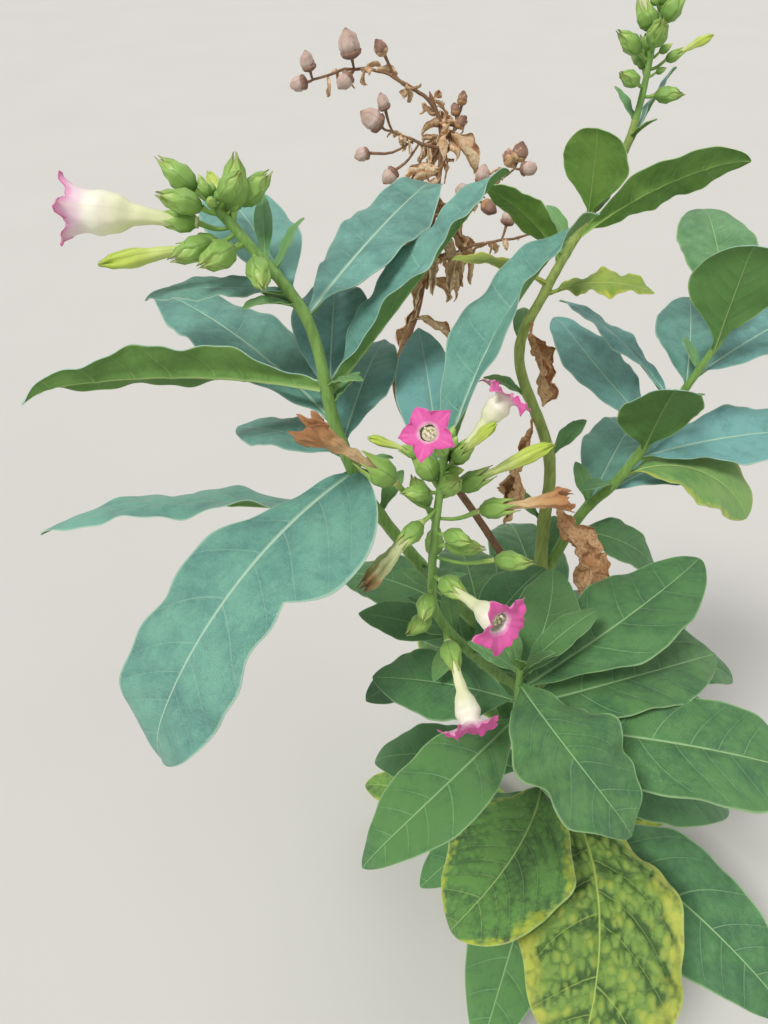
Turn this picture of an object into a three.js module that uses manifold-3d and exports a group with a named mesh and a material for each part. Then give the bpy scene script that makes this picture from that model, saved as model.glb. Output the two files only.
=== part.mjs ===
// A flowering tobacco plant, rooted in the ground: millimetres, +Z up.
// The origin is the middle of the flat cut under the main stem.

import * as THREE from 'three';
import { mergeVertices } from 'three/addons/utils/BufferGeometryUtils.js';
import Module from 'manifold-3d';

const wasm = await Module();
wasm.setup();

// Driving dimensions

const GAP = 0.3; // clear space between pieces that touch
const LINE_STEPS = 12; // samples for each stretch between two way-points of a limb
const LIMB_STEPS = 3; // rings of faces for each of those stretches
const FLARE_HEIGHT = 45; // the main stem widens towards the ground over this height
const FLARE_RADIUS = 5; // added to its radius at the ground
const BURIED = 20; // how deep the main stem is drawn before the flat cut at the ground

const MIDRIB_STEPS = 24; // samples along a leaf's midrib
const LEAF_THICKNESS_SHARE = 0.011; // of its length
const LEAF_THINNEST = 1.2;
const LEAF_STALK = 2.2; // half width of a leaf where it leaves the stem
const LEAF_TIP = 1; // half width of a leaf at its tip
const LEAF_WIDEST = 0.5; // share of the length where a leaf is widest, unless its row says otherwise
const LEAF_NARROWING = 1.3; // how hollow the outline is towards the foot, above 1 for hollow
const LEAF_POINT = 0.72; // and towards the tip, below 1 for full
const EAR_REACH = 0.22; // an ear is widest at this share of the leaf's length, and ends at twice of it
const LEAF_FOLD = 10; // degrees
const LEAF_ARCH = 0.15; // of the half width
const LEAF_NUDGE = 0.1; // a leaf's foot moves out by such steps until it is clear of its limb
const SMALL_LEAF = 130; // leaves shorter than this have fewer faces
const SHEATH_WALL = 1.5; // leaves of one group are joined by a thin sheath round their limb
const SHEATH_OVER = 3; // and it reaches past the highest and the lowest of their feet by this

const COROLLA_LENGTH = 46;
const TUBE_RADIUS = 2.6;
const THROAT_RADIUS = 6.8;
const MOUTH_RADIUS = 14.5;
const LOBES = 5;
const LOBE_DEPTH = 0.2; // of the mouth's radius
const BUD_RADIUS = 3.4;
const SHRUNK_RADIUS = 2.1; // of a withered flower's tube
const WITHERED_RADIUS = 5.5; // and of its mouth
const CALYX_LENGTH = 20;
const CALYX_RADIUS = 5.4;
const CAPSULE_LENGTH = 13;
const CAPSULE_RADIUS = 4.8;
const STALK_RADIUS = 1; // of a flower's or a capsule's stalk
const TWIG_RADIUS = 1.3;
const SCRAPS = 6; // crumpled dry leaves in the seed head
const SCRAP_LENGTH = 34;
const SCRAP_WIDTH = 15;
const SCRAP_RISE = -10;
const SCRAP_BEND = -60;
const SCRAP_FOLD = 40;
const SCRAP_START = 0.03; // share of the limb between the axis's foot and the first scrap
const GOLDEN_ANGLE = 137.5; // degrees from one scrap to the next round the stem

const COLOURS = {
  stem: 0x6f9448,
  woody: 0x8a7f56,
  dryStem: 0x8f6a4c,
  leafAbove: 0x5f8f80,
  leafLow: 0x46704d,
  leafYellow: 0xa3ad42,
  dryLeaf: 0xa86f45,
  flowers: 0x8fb457,
  seedHead: 0xb08d80,
};

// Limbs: way-points in millimetres, the radius at the foot and at the tip, and the share of the length
// that is the limb itself, where the axis of a flower head or seed head goes on from it.

const LIMBS = {
  main_stem: {
    points: [[0, 0, 0], [-26, 3, 200], [-69, 8, 440], [-73, 25, 528], [-100, 38, 598],
      [-86, 52, 640], [-49, 75, 711], [-41, 88, 763], [-38, 94, 780]],
    foot: 8.5,
    tip: 1.4,
    sides: 9,
    share: 0.93,
    colour: 'woody',
  },
  left_stem: {
    points: [[-47, 5, 310], [-120, -35, 430], [-185, -70, 560], [-208, -73, 622],
      [-220, -63, 678], [-247, -56, 715], [-260, -52, 729]],
    foot: 5.2,
    tip: 2.2,
    sides: 7,
    share: 0.93,
    colour: 'stem',
  },
  middle_stem: {
    points: [[-38, 4, 265], [-98, -45, 380], [-150, -95, 500], [-159, -98, 550], [-155, -87, 628]],
    foot: 4.8,
    tip: 1.8,
    sides: 7,
    share: 0.66,
    colour: 'stem',
  },
  right_stem: {
    points: [[-67, 8, 430], [-45, 22, 480], [-20, 27, 515], [9, 29, 592], [25, 34, 628]],
    foot: 4.2,
    tip: 1.8,
    sides: 7,
    share: 1,
    colour: 'stem',
  },
  front_shoot: {
    points: [[-20, 2, 150], [-60, -60, 260], [-96, -105, 390], [-106, -113, 485]],
    foot: 4.8,
    tip: 1.8,
    sides: 7,
    share: 1,
    colour: 'stem',
  },
  dry_stem: {
    points: [[-60, 7, 385], [-120, 25, 480], [-176, 34, 572], [-162, 66, 626], [-150, 112, 700],
      [-158, 122, 730]],
    foot: 3.2,
    tip: 1.3,
    sides: 6,
    share: 0.64,
    colour: 'dryStem',
  },
};

// Leaves of each limb. A leaf leaves the limb at a share of its length and points in degrees: azimuth
// from +X towards +Y, rise above level. It bends down and turns by so much along its length. Its length
// and width are in millimetres, widest is the share of the length where it is widest, roll turns it
// about its midrib, fold lifts its two halves, and arch lets their edges droop, as a share of the half
// width. Hollow and point shape the outline towards the foot and the tip, and an ear is a lobe of the left
// half beside the foot, as a share of the half width.

const LEAVES = {
  left_stem: [
    {
      share: 0.695, azimuth: -131, rise: 2, bend: -72, turn: -4, length: 190, width: 68, widest: 0.68,
      hollow: 0.5, ear: 1.33,
    },
    { share: 0.615, azimuth: 180, rise: 18, bend: -32, turn: 10, length: 185, width: 52, roll: -25 },
    { share: 0.76, azimuth: 128, rise: 12, bend: -12, turn: 13, length: 155, width: 58 },
    {
      share: 0.8, azimuth: 172, rise: 6, bend: -13, turn: 20, length: 148, width: 38, roll: -55, fold: 25,
      widest: 0.42, point: 0.95,
    },
    { share: 0.89, azimuth: 118, rise: 28, bend: -35, length: 100, width: 46 },
    { share: 0.9, azimuth: 176, rise: 6, bend: -20, length: 67, width: 26, point: 0.9 },
    { share: 0.87, azimuth: 67, rise: 9, bend: -12, length: 176, width: 44 },
    { share: 0.795, azimuth: 50, rise: 26, bend: 0, length: 160, width: 42, roll: 35, fold: 34 },
    { share: 0.78, azimuth: 90, rise: 30, bend: -35, length: 97, width: 42 },
    { share: 0.73, azimuth: 77, rise: 22, bend: -35, length: 95, width: 34 },
    { share: 0.715, azimuth: 145, rise: 5, bend: -30, length: 78, width: 40 },
  ],
  middle_stem: [
    {
      share: 0.975, azimuth: 70, rise: 33, bend: -21, turn: -26, length: 184, width: 46, roll: 25, fold: 35,
      widest: 0.4, point: 1.1,
    },
    { share: 0.94, azimuth: 95, rise: 33, bend: -30, length: 105, width: 36 },
  ],
  right_stem: [
    { share: 0.72, azimuth: 129, rise: 36, bend: -35, length: 109, width: 26, roll: -20 },
    { share: 0.62, azimuth: 124, rise: 18, bend: -5, turn: -12, length: 118, width: 52 },
    { share: 0.78, azimuth: 75, rise: 28, bend: -35, length: 95, width: 46 },
    {
      share: 0.55, azimuth: -95, rise: 76, bend: -15, length: 72, width: 54, widest: 0.55, point: 0.6,
    },
    { share: 0.82, azimuth: 32, rise: 18, bend: -20, length: 125, width: 40 },
    {
      share: 0.9, azimuth: -95, rise: 86, bend: -4, length: 72, width: 54, widest: 0.62, point: 0.5,
    },
    {
      share: 0.97, azimuth: 88, rise: 38, bend: -28, length: 100, width: 50, widest: 0.58, point: 0.5,
    },
    { share: 0.52, azimuth: 5, rise: 18, bend: -30, turn: 5, length: 145, width: 52 },
    {
      share: 0.45, azimuth: 0, rise: 36, bend: -90, turn: -44, length: 96, width: 66, widest: 0.55,
      point: 0.6, tint: 'leafYellow',
    },
    { share: 0.2, azimuth: -5, rise: 0, bend: -55, length: 80, width: 42 },
  ],
  main_stem: [
    { share: 0.9, azimuth: 48, rise: 55, bend: -25, length: 66, width: 18, roll: 60 },
    {
      share: 0.865, azimuth: -125, rise: 82, bend: -5, length: 50, width: 40, widest: 0.58, hollow: 1,
      point: 0.5,
    },
    { share: 0.85, azimuth: -4, rise: 46, bend: -40, turn: 10, length: 100, width: 34, roll: 75 },
    { share: 0.83, azimuth: 184, rise: 58, bend: -35, length: 70, width: 26, roll: -40 },
  ],
  front_shoot: [
    { share: 0.98, azimuth: 36, rise: 30, bend: -35, length: 66, width: 20 },
    { share: 0.96, azimuth: 54, rise: 15, bend: -15, turn: 30, length: 88, width: 42 },
    { share: 0.93, azimuth: 29, rise: 12, bend: -20, turn: 16, length: 175, width: 66 },
    { share: 0.88, azimuth: 10, rise: 10, bend: -30, turn: 20, length: 155, width: 58 },
    { share: 0.82, azimuth: -20, rise: 25, bend: -55, turn: 20, length: 200, width: 78 },
    { share: 0.95, azimuth: -75, rise: 20, bend: -55, turn: 32, length: 106, width: 68 },
    { share: 0.85, azimuth: -127, rise: 25, bend: -62, turn: -22, length: 138, width: 50 },
    { share: 0.9, azimuth: 180, rise: 30, bend: -50, turn: -15, length: 92, width: 50 },
    {
      share: 0.22, azimuth: -106, rise: 22, bend: -55, turn: -44, length: 156, width: 104, point: 0.6,
      tint: 'leafLow',
    },
  ],
};

const LOW_LEAVES = [
  {
    share: 0.17, azimuth: -74, rise: 40, bend: -82, turn: -44, length: 260, width: 140, widest: 0.58,
    point: 0.6, tint: 'leafYellow',
  },
  { share: 0.1, azimuth: -45, rise: 28, bend: -50, turn: -6, length: 260, width: 112 },
  { share: 0.11, azimuth: -114, rise: 16, bend: -35, length: 230, width: 85 },
  { share: 0.16, azimuth: -145, rise: 25, bend: -50, length: 165, width: 66 },
];

// Groups of leaves, each group one solid: those of the hidden side and of the stems' lower parts, the
// small young ones under the top, and the dead ones that hang on the main stem.

const LEAF_GROUPS = {
  base_leaves: {
    limb: 'main_stem',
    colour: 'leafLow',
    leaves: [
      { share: 0.06, azimuth: 165, rise: 14, bend: -30, length: 205, width: 84 },
      { share: 0.07, azimuth: 85, rise: 18, bend: -40, length: 215, width: 90 },
      { share: 0.08, azimuth: 15, rise: 16, bend: -36, length: 200, width: 84 },
    ],
  },
  lower_leaves: {
    limb: 'main_stem',
    colour: 'leafLow',
    leaves: [
      { share: 0.235, azimuth: 125, rise: 30, bend: -65, length: 215, width: 95 },
      { share: 0.26, azimuth: 0, rise: 32, bend: -70, length: 200, width: 88 },
      { share: 0.285, azimuth: 65, rise: 35, bend: -70, length: 200, width: 90 },
    ],
  },
  inner_leaves: {
    limb: 'main_stem',
    colour: 'leafLow',
    leaves: [
      { share: 0.364, azimuth: 145, rise: 35, bend: -70, length: 180, width: 80 },
      { share: 0.368, azimuth: 35, rise: 35, bend: -68, length: 185, width: 80 },
    ],
  },
  upper_leaves: {
    limb: 'main_stem',
    colour: 'leafLow',
    leaves: [
      { share: 0.42, azimuth: 95, rise: 35, bend: -65, length: 165, width: 72 },
      { share: 0.435, azimuth: -12, rise: 30, bend: -60, length: 150, width: 66 },
      { share: 0.45, azimuth: 168, rise: 22, bend: -50, length: 140, width: 58 },
    ],
  },
  left_back_leaves: {
    limb: 'left_stem',
    colour: 'leafLow',
    leaves: [
      { share: 0.31, azimuth: 148, rise: 15, bend: -45, length: 115, width: 50 },
      { share: 0.28, azimuth: 95, rise: 15, bend: -50, length: 105, width: 46 },
    ],
  },
  right_back_leaves: {
    limb: 'right_stem',
    colour: 'leafAbove',
    leaves: [
      { share: 0.3, azimuth: 60, rise: 25, bend: -50, length: 125, width: 54 },
      { share: 0.37, azimuth: 25, rise: 20, bend: -45, length: 120, width: 50 },
    ],
  },
  front_under_leaves: {
    limb: 'front_shoot',
    colour: 'leafLow',
    leaves: [
      { share: 0.4, azimuth: -8, rise: 28, bend: -65, length: 165, width: 74 },
      { share: 0.5, azimuth: 172, rise: 22, bend: -55, length: 125, width: 56 },
      { share: 0.62, azimuth: 22, rise: 25, bend: -55, length: 130, width: 58 },
    ],
  },
  middle_under_leaves: {
    limb: 'middle_stem',
    colour: 'leafLow',
    leaves: [
      { share: 0.46, azimuth: -165, rise: 15, bend: -45, length: 85, width: 38 },
      { share: 0.53, azimuth: 50, rise: 30, bend: -50, length: 90, width: 40 },
      { share: 0.62, azimuth: 170, rise: 28, bend: -35, length: 60, width: 28 },
    ],
  },
  top_young_leaves: {
    limb: 'main_stem',
    colour: 'leafYellow',
    leaves: [
      { share: 0.81, azimuth: -168, rise: 39, bend: -40, length: 65, width: 20 },
      { share: 0.805, azimuth: -26, rise: 35, bend: -45, length: 64, width: 26 },
    ],
  },
  dry_leaves: {
    limb: 'main_stem',
    colour: 'dryLeaf',
    leaves: [
      { share: 0.78, azimuth: -75, rise: -20, bend: -60, length: 54, width: 26, fold: 40 },
      { share: 0.7, azimuth: -120, rise: -45, bend: -40, length: 78, width: 26, fold: 45 },
      { share: 0.62, azimuth: -50, rise: -25, bend: -60, length: 85, width: 38, fold: 30 },
    ],
  },
};

// Flowers of each head: where the stalk leaves the axis, which way it points, its length, what it
// carries and how large that is. A pod is a closed calyx, a bud a corolla that hasn't opened, and stretch
// lengthens a corolla.

const FLOWERS = {
  left_stem: [
    { share: 0.97, azimuth: 180, rise: 8, stalk: 15, kind: 'flower', stretch: 1.35 },
    { share: 0.955, azimuth: -172, rise: -4, stalk: 10, kind: 'bud' },
    { share: 0.97, azimuth: 75, rise: 70, stalk: 6, kind: 'pod', size: 1.15 },
    { share: 1, azimuth: 160, rise: 35, stalk: 6, kind: 'pod' },
    { share: 0.985, azimuth: -160, rise: 25, stalk: 8, kind: 'pod' },
    { share: 0.955, azimuth: -120, rise: 0, stalk: 8, kind: 'pod', size: 1.1 },
    { share: 0.965, azimuth: -145, rise: -8, stalk: 12, kind: 'pod' },
    { share: 0.945, azimuth: -75, rise: -15, stalk: 6, kind: 'pod' },
    { share: 0.98, azimuth: 40, rise: 30, stalk: 8, kind: 'pod' },
    { share: 0.965, azimuth: 115, rise: 20, stalk: 9, kind: 'bud', size: 0.7 },
    { share: 0.99, azimuth: -30, rise: 50, stalk: 6, kind: 'pod', size: 0.9 },
  ],
  middle_stem: [
    { share: 0.69, azimuth: -80, rise: -30, stalk: 10, kind: 'flower' },
    { share: 0.8, azimuth: -55, rise: 10, stalk: 8, kind: 'flower' },
    { share: 0.98, azimuth: -112, rise: 50, stalk: 8, kind: 'flower', size: 0.78 },
    { share: 0.95, azimuth: 22, rise: 42, stalk: 8, kind: 'flower' },
    { share: 0.96, azimuth: -15, rise: 55, stalk: 8, kind: 'bud', size: 0.7 },
    { share: 0.93, azimuth: 165, rise: 62, stalk: 7, kind: 'pod', size: 1.1 },
    { share: 0.93, azimuth: -60, rise: 50, stalk: 5, kind: 'pod' },
    { share: 0.9, azimuth: -172, rise: 45, stalk: 31, kind: 'withered', size: 1.28 },
    { share: 0.92, azimuth: 12, rise: 25, stalk: 10, kind: 'bud' },
    { share: 0.89, azimuth: -8, rise: 20, stalk: 22, kind: 'withered' },
    { share: 0.85, azimuth: -12, rise: 5, stalk: 6, kind: 'pod' },
    { share: 0.83, azimuth: -10, rise: 5, stalk: 32, kind: 'pod' },
    { share: 0.91, azimuth: -145, rise: -20, stalk: 14, kind: 'withered' },
    { share: 0.78, azimuth: -105, rise: -5, stalk: 6, kind: 'pod' },
    { share: 0.73, azimuth: -130, rise: 5, stalk: 5, kind: 'pod' },
    { share: 0.97, azimuth: 175, rise: 20, stalk: 12, kind: 'bud', size: 0.6 },
    { share: 0.93, azimuth: -155, rise: 15, stalk: 6, kind: 'pod', size: 0.8 },
    { share: 0.8, azimuth: 85, rise: 20, stalk: 10, kind: 'pod' },
    { share: 0.88, azimuth: 115, rise: 25, stalk: 10, kind: 'pod' },
    { share: 0.87, azimuth: -45, rise: 20, stalk: 7, kind: 'pod', size: 0.9 },
  ],
  main_stem: [
    { share: 0.975, azimuth: 150, rise: 62, stalk: 6, kind: 'flower' },
    { share: 0.98, azimuth: 10, rise: 62, stalk: 6, kind: 'flower' },
    { share: 0.99, azimuth: 80, rise: 70, stalk: 4, kind: 'flower', size: 0.9 },
    { share: 0.97, azimuth: -100, rise: 45, stalk: 6, kind: 'pod' },
    { share: 0.96, azimuth: -5, rise: 30, stalk: 9, kind: 'bud', size: 0.55 },
    { share: 0.945, azimuth: -25, rise: 8, stalk: 6, kind: 'pod', size: 0.8 },
    { share: 0.95, azimuth: -150, rise: 25, stalk: 6, kind: 'pod', size: 0.8 },
    { share: 0.955, azimuth: 95, rise: 35, stalk: 8, kind: 'pod' },
    { share: 0.965, azimuth: 185, rise: 35, stalk: 7, kind: 'pod', size: 0.9 },
  ],
};

// Twigs of the dry seed head. Each capsule: the share of the twig's length where its stalk leaves it, the
// degrees that it swings from the twig, its rise, the stalk's length and its own size.

const TWIGS = [
  {
    share: 0.975, azimuth: 178, rise: 47, bend: -70, length: 80,
    capsules: [[1, 0, 75, 4, 0.9], [1, 0, -15, 3, 0.9], [0.68, 0, 78, 5, 1.3], [0.32, 0, 55, 16, 0.8],
      [0.68, 40, -35, 3, 0.9]],
  },
  {
    share: 0.92, azimuth: 185, rise: 22, bend: -10, length: 36,
    capsules: [[1, 0, 35, 3, 1.25], [0.9, 0, 70, 12, 0.8], [0.5, 10, -10, 28, 0.8],
      [0.4, 20, -40, 20, 0.9], [0.05, 20, -50, 14, 0.8]],
  },
  {
    share: 0.79, azimuth: 22, rise: 40, bend: -12, length: 66,
    capsules: [[1, 80, 20, 3, 1], [1, 0, 75, 3, 1], [1, -60, 10, 4, 0.9], [0.5, 90, 10, 5, 0.9],
      [0.6, 40, 70, 5, 0.9], [0.55, -60, -20, 6, 0.9]],
  },
  {
    share: 0.76, azimuth: -6, rise: 22, bend: -12, length: 66,
    capsules: [[1, 0, 10, 3, 1], [0.72, 60, 60, 8, 0.9]],
  },
  {
    share: 0.88, azimuth: 50, rise: 62, bend: 0, length: 40,
    capsules: [[1, 0, 80, 2, 0.65], [0.85, 60, 60, 2, 0.6], [0.7, -60, 50, 2, 0.7], [0.55, 80, 40, 2, 0.6]],
  },
];

// Directions and lines

const radians = THREE.MathUtils.degToRad;

function heading(azimuth, rise) {
  const level = Math.cos(radians(rise));
  const x = level * Math.cos(radians(azimuth));
  const y = level * Math.sin(radians(azimuth));
  return new THREE.Vector3(x, y, Math.sin(radians(rise)));
}

function limbLine({ points }) {
  const wayPoints = points.map((point) => new THREE.Vector3(...point));
  const curve = new THREE.CatmullRomCurve3(wayPoints, false, 'catmullrom', 0.5);
  return curve.getPoints(LINE_STEPS * (points.length - 1));
}

function arcLine(from, { azimuth, rise, bend = 0, turn = 0, length }) {
  const points = [from.clone()];
  for (let i = 0; i < MIDRIB_STEPS; i += 1) {
    const share = (i + 0.5) / MIDRIB_STEPS;
    const step = heading(azimuth + turn * share, rise + bend * share);
    points.push(points[i].clone().addScaledVector(step, length / MIDRIB_STEPS));
  }
  return points;
}

function lineLength(line) {
  return line.slice(1).reduce((sum, point, i) => sum + point.distanceTo(line[i]), 0);
}

function alongLine(line, share) {
  let left = share * lineLength(line);
  let i = 0;
  while (i < line.length - 2 && left > line[i + 1].distanceTo(line[i])) {
    left -= line[i + 1].distanceTo(line[i]);
    i += 1;
  }
  const tangent = line[i + 1].clone().sub(line[i]).normalize();
  return { point: line[i].clone().addScaledVector(tangent, left), tangent };
}

function limbRadius(limb, share) {
  return limb.foot + (limb.tip - limb.foot) * share;
}

// Solids from geometry classes, each moved corner by corner into its place

function reshape(geometry, place) {
  const position = geometry.attributes.position;
  const corner = new THREE.Vector3();
  for (let i = 0; i < position.count; i += 1) {
    corner.fromBufferAttribute(position, i);
    const moved = place(corner.x, corner.y, corner.z);
    position.setXYZ(i, moved.x, moved.y, moved.z);
  }
  return geometry;
}

function tube(line, radiusAt, sides, steps, from = 0, to = 1) {
  const whole = line.at(-1).clone().sub(line[0]).normalize();
  const reference = Math.abs(whole.y) < 0.8 ? new THREE.Vector3(0, 1, 0) : new THREE.Vector3(1, 0, 0);
  const geometry = new THREE.CylinderGeometry(1, 1, 1, sides, steps);
  return reshape(geometry, (x, y, z) => {
    const share = from + (to - from) * (y + 0.5);
    const { point, tangent } = alongLine(line, share);
    const across = reference.clone().cross(tangent).normalize();
    const other = across.clone().cross(tangent);
    const radius = radiusAt(share);
    return point.addScaledVector(across, x * radius).addScaledVector(other, z * radius);
  });
}

function turned(profile, sides, place, direction, rimShape = () => 1) {
  const points = profile.map(([radius, height]) => new THREE.Vector2(radius, height));
  const geometry = new THREE.LatheGeometry(points, sides);
  const turn = new THREE.Quaternion().setFromUnitVectors(new THREE.Vector3(0, 1, 0), direction);
  return reshape(geometry, (x, y, z) => {
    const size = rimShape(Math.atan2(z, x), Math.hypot(x, z));
    return new THREE.Vector3(x * size, y, z * size).applyQuaternion(turn).add(place);
  });
}

function leafThickness(leaf) {
  return Math.max(LEAF_THINNEST, LEAF_THICKNESS_SHARE * leaf.length);
}

function leafHalfWidth(leaf, share, side) {
  const { width, widest = LEAF_WIDEST, hollow = LEAF_NARROWING, point = LEAF_POINT, ear = 0 } = leaf;
  const even = share ** (Math.log(0.5) / Math.log(widest));
  const outline = Math.sin(Math.PI * even) ** (share < widest ? hollow : point);
  const round = Math.sqrt(Math.max(0, 1 - (share / EAR_REACH - 1) ** 2));
  const beside = side < 0 ? ear * round : 0;
  return Math.max((width / 2) * Math.max(outline, beside), share < widest ? LEAF_STALK : LEAF_TIP);
}

function blade(leaf, from) {
  const { turn = 0, roll = 0, fold = LEAF_FOLD, arch = LEAF_ARCH, plain = false } = leaf;
  const midrib = arcLine(from, leaf);
  const thickness = leafThickness(leaf);
  const small = plain || leaf.length < SMALL_LEAF;
  const geometry = new THREE.BoxGeometry(2, 1, 1, small ? 2 : 4, 1, small ? 5 : 6);
  return reshape(geometry, (x, y, z) => {
    const share = 0.5 - z;
    const azimuth = leaf.azimuth + turn * share;
    const ahead = heading(azimuth, leaf.rise + leaf.bend * share);
    const right = heading(azimuth - 90, 0).applyAxisAngle(ahead, -radians(roll));
    const up = right.clone().cross(ahead);
    const half = leafHalfWidth(leaf, share, x);
    const lift = half * (Math.sin(radians(fold)) * Math.abs(x) - arch * x * x);
    const place = alongLine(midrib, share).point;
    place.addScaledVector(right, x * half * Math.cos(radians(fold)));
    return place.addScaledVector(up, lift + y * thickness);
  });
}

function leafFoot(leaf, limb, nudge) {
  const { point, tangent } = alongLine(limbLine(limb), leaf.share);
  const outward = heading(leaf.azimuth, 0);
  outward.addScaledVector(tangent, -outward.dot(tangent)).normalize();
  return point.addScaledVector(outward, limbRadius(limb, leaf.share) + nudge);
}

// Joining and cutting

function solid(geometry) {
  const bare = geometry.clone();
  bare.deleteAttribute('normal');
  bare.deleteAttribute('uv');
  const merged = mergeVertices(bare, 1e-4);
  const corners = Array.from(merged.index.array);
  const faces = [];
  for (let i = 0; i < corners.length; i += 3) {
    const [a, b, c] = corners.slice(i, i + 3);
    if (a !== b && b !== c && c !== a) {
      faces.push(a, b, c);
    }
  }
  const vertProperties = Float32Array.from(merged.attributes.position.array);
  const triVerts = Uint32Array.from(faces);
  return new wasm.Manifold(new wasm.Mesh({ numProp: 3, vertProperties, triVerts }));
}

function geometryOf(body) {
  const mesh = body.getMesh();
  const geometry = new THREE.BufferGeometry();
  geometry.setAttribute('position', new THREE.BufferAttribute(mesh.vertProperties, 3));
  geometry.setIndex(new THREE.BufferAttribute(mesh.triVerts, 1));
  geometry.computeVertexNormals();
  return geometry;
}

function joined(bodies) {
  return bodies.reduce((sum, body) => sum.add(body));
}

// Stems and boughs

function limbBody(limb, { spare = 0, from = 0, to = 1, flare = () => 0 } = {}) {
  const radiusAt = (share) => limbRadius(limb, share) + spare + flare(share);
  const steps = Math.ceil(LIMB_STEPS * (limb.points.length - 1) * (to - from));
  return solid(tube(limbLine(limb), radiusAt, limb.sides, steps, from, to));
}

function stemBody(limb, spare = 0) {
  if (limb !== LIMBS.main_stem) {
    return limbBody(limb, { spare, to: limb.share });
  }
  const length = lineLength(limbLine(limb));
  const flare = (share) => FLARE_RADIUS * Math.max(0, 1 - (share * length) / FLARE_HEIGHT) ** 2;
  const stem = limbBody(limb, { spare, from: -BURIED / length, to: limb.share, flare });
  const ground = new THREE.BoxGeometry(100, 100, 100);
  ground.translate(0, 0, -50);
  return stem.subtract(solid(ground));
}

function headAxis(limb, spare = 0) {
  const from = limb.share + GAP / lineLength(limbLine(limb));
  return limbBody(limb, { spare, from });
}

function wholeLimb(limb, spare) {
  const stem = stemBody(limb, spare);
  return limb.share < 1 ? stem.add(headAxis(limb, spare)) : stem;
}

function leafBody(leaf, limb, limbWithGap) {
  let nudge = 0;
  let body = solid(blade(leaf, leafFoot(leaf, limb, nudge)));
  while (!body.intersect(limbWithGap).isEmpty()) {
    nudge += LEAF_NUDGE;
    body = solid(blade(leaf, leafFoot(leaf, limb, nudge)));
  }
  return body;
}

function sheath(limb, leaves) {
  const line = limbLine(limb);
  const heights = leaves.map((leaf) => alongLine(line, leaf.share).point.z);
  const low = Math.min(...heights) - SHEATH_OVER;
  const high = Math.max(...heights) + SHEATH_OVER;
  const slab = new THREE.BoxGeometry(1000, 1000, high - low);
  slab.translate(0, 0, (low + high) / 2);
  return stemBody(limb, GAP + SHEATH_WALL).intersect(solid(slab)).subtract(stemBody(limb, GAP));
}

// Flowers, buds and pods

function corollaProfile({ kind, size = 1, stretch = 1 }) {
  const shapes = {
    flower: [[0, 0.04], [TUBE_RADIUS, 0.06], [TUBE_RADIUS, 0.46], [THROAT_RADIUS, 0.68],
      [THROAT_RADIUS, 0.8], [MOUTH_RADIUS, 0.97], [MOUTH_RADIUS, 1], [0, 0.9]],
    bud: [[0, 0.04], [TUBE_RADIUS, 0.06], [TUBE_RADIUS, 0.55], [BUD_RADIUS, 0.75],
      [BUD_RADIUS * 0.8, 0.92], [0, 1]],
    withered: [[0, 0.04], [SHRUNK_RADIUS, 0.06], [SHRUNK_RADIUS, 0.55], [WITHERED_RADIUS, 1],
      [0, 0.95]],
  };
  const length = COROLLA_LENGTH * size * stretch;
  return shapes[kind].map(([radius, height]) => [radius * size, height * length]);
}

function calyxProfile(size) {
  const shape = [[0, 0], [0.85, 0.15], [1, 0.4], [0.55, 0.8], [0, 1]];
  return shape.map(([radius, height]) => [radius * CALYX_RADIUS * size, height * CALYX_LENGTH * size]);
}

function lobed(angle, radius) {
  return radius > THROAT_RADIUS * 1.4 ? 1 + LOBE_DEPTH * Math.cos(LOBES * angle) : 1;
}

function flower(item, axis) {
  const { size = 1 } = item;
  const from = alongLine(axis, item.share).point;
  const direction = heading(item.azimuth, item.rise);
  const place = from.clone().addScaledVector(direction, item.stalk);
  const stalk = [from, place.clone().addScaledVector(direction, 1)];
  const calyx = turned(calyxProfile(size), LOBES, place, direction);
  const pieces = [solid(tube(stalk, () => STALK_RADIUS, 3, 1)), solid(calyx)];
  if (item.kind === 'flower') {
    pieces.push(solid(turned(corollaProfile(item), 2 * LOBES, place, direction, lobed)));
  } else if (item.kind !== 'pod') {
    pieces.push(solid(turned(corollaProfile(item), LOBES, place, direction)));
  }
  return joined(pieces);
}

function flowerHead(limb, items) {
  const line = limbLine(limb);
  return joined([headAxis(limb), ...items.map((item) => flower(item, line))]);
}

// The dry seed head

function capsule(from, direction, stalk, size) {
  const place = from.clone().addScaledVector(direction, stalk);
  const line = [from, place.clone().addScaledVector(direction, 1)];
  const shape = [[0, 0], [0.9, 0.25], [0.85, 0.65], [0, 1]];
  const [wide, long] = [CAPSULE_RADIUS * size, CAPSULE_LENGTH * size];
  const profile = shape.map(([radius, height]) => [radius * wide, height * long]);
  return solid(tube(line, () => STALK_RADIUS, 3, 1)).add(solid(turned(profile, 5, place, direction)));
}

function seedTwig(twig, axis) {
  const line = arcLine(alongLine(axis, twig.share).point, twig);
  const pieces = [solid(tube(line, (share) => TWIG_RADIUS * (1 - 0.3 * share), 3, 4))];
  for (const [share, swing, rise, stalk, size] of twig.capsules) {
    const { point } = alongLine(line, Math.min(share, 0.99));
    pieces.push(capsule(point, heading(twig.azimuth + swing, rise), stalk, size));
  }
  return joined(pieces);
}

function seedHead(limb) {
  const line = limbLine(limb);
  const pieces = [headAxis(limb), ...TWIGS.map((twig) => seedTwig(twig, line))];
  const first = limb.share + SCRAP_START;
  for (let i = 0; i < SCRAPS; i += 1) {
    const share = first + ((1 - first) * i) / SCRAPS;
    const size = { length: SCRAP_LENGTH, width: SCRAP_WIDTH, fold: SCRAP_FOLD };
    const scrap = { azimuth: GOLDEN_ANGLE * i, rise: SCRAP_RISE, bend: SCRAP_BEND, ...size };
    pieces.push(solid(blade(scrap, alongLine(line, share).point)));
  }
  return joined(pieces);
}

// The plant

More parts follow.
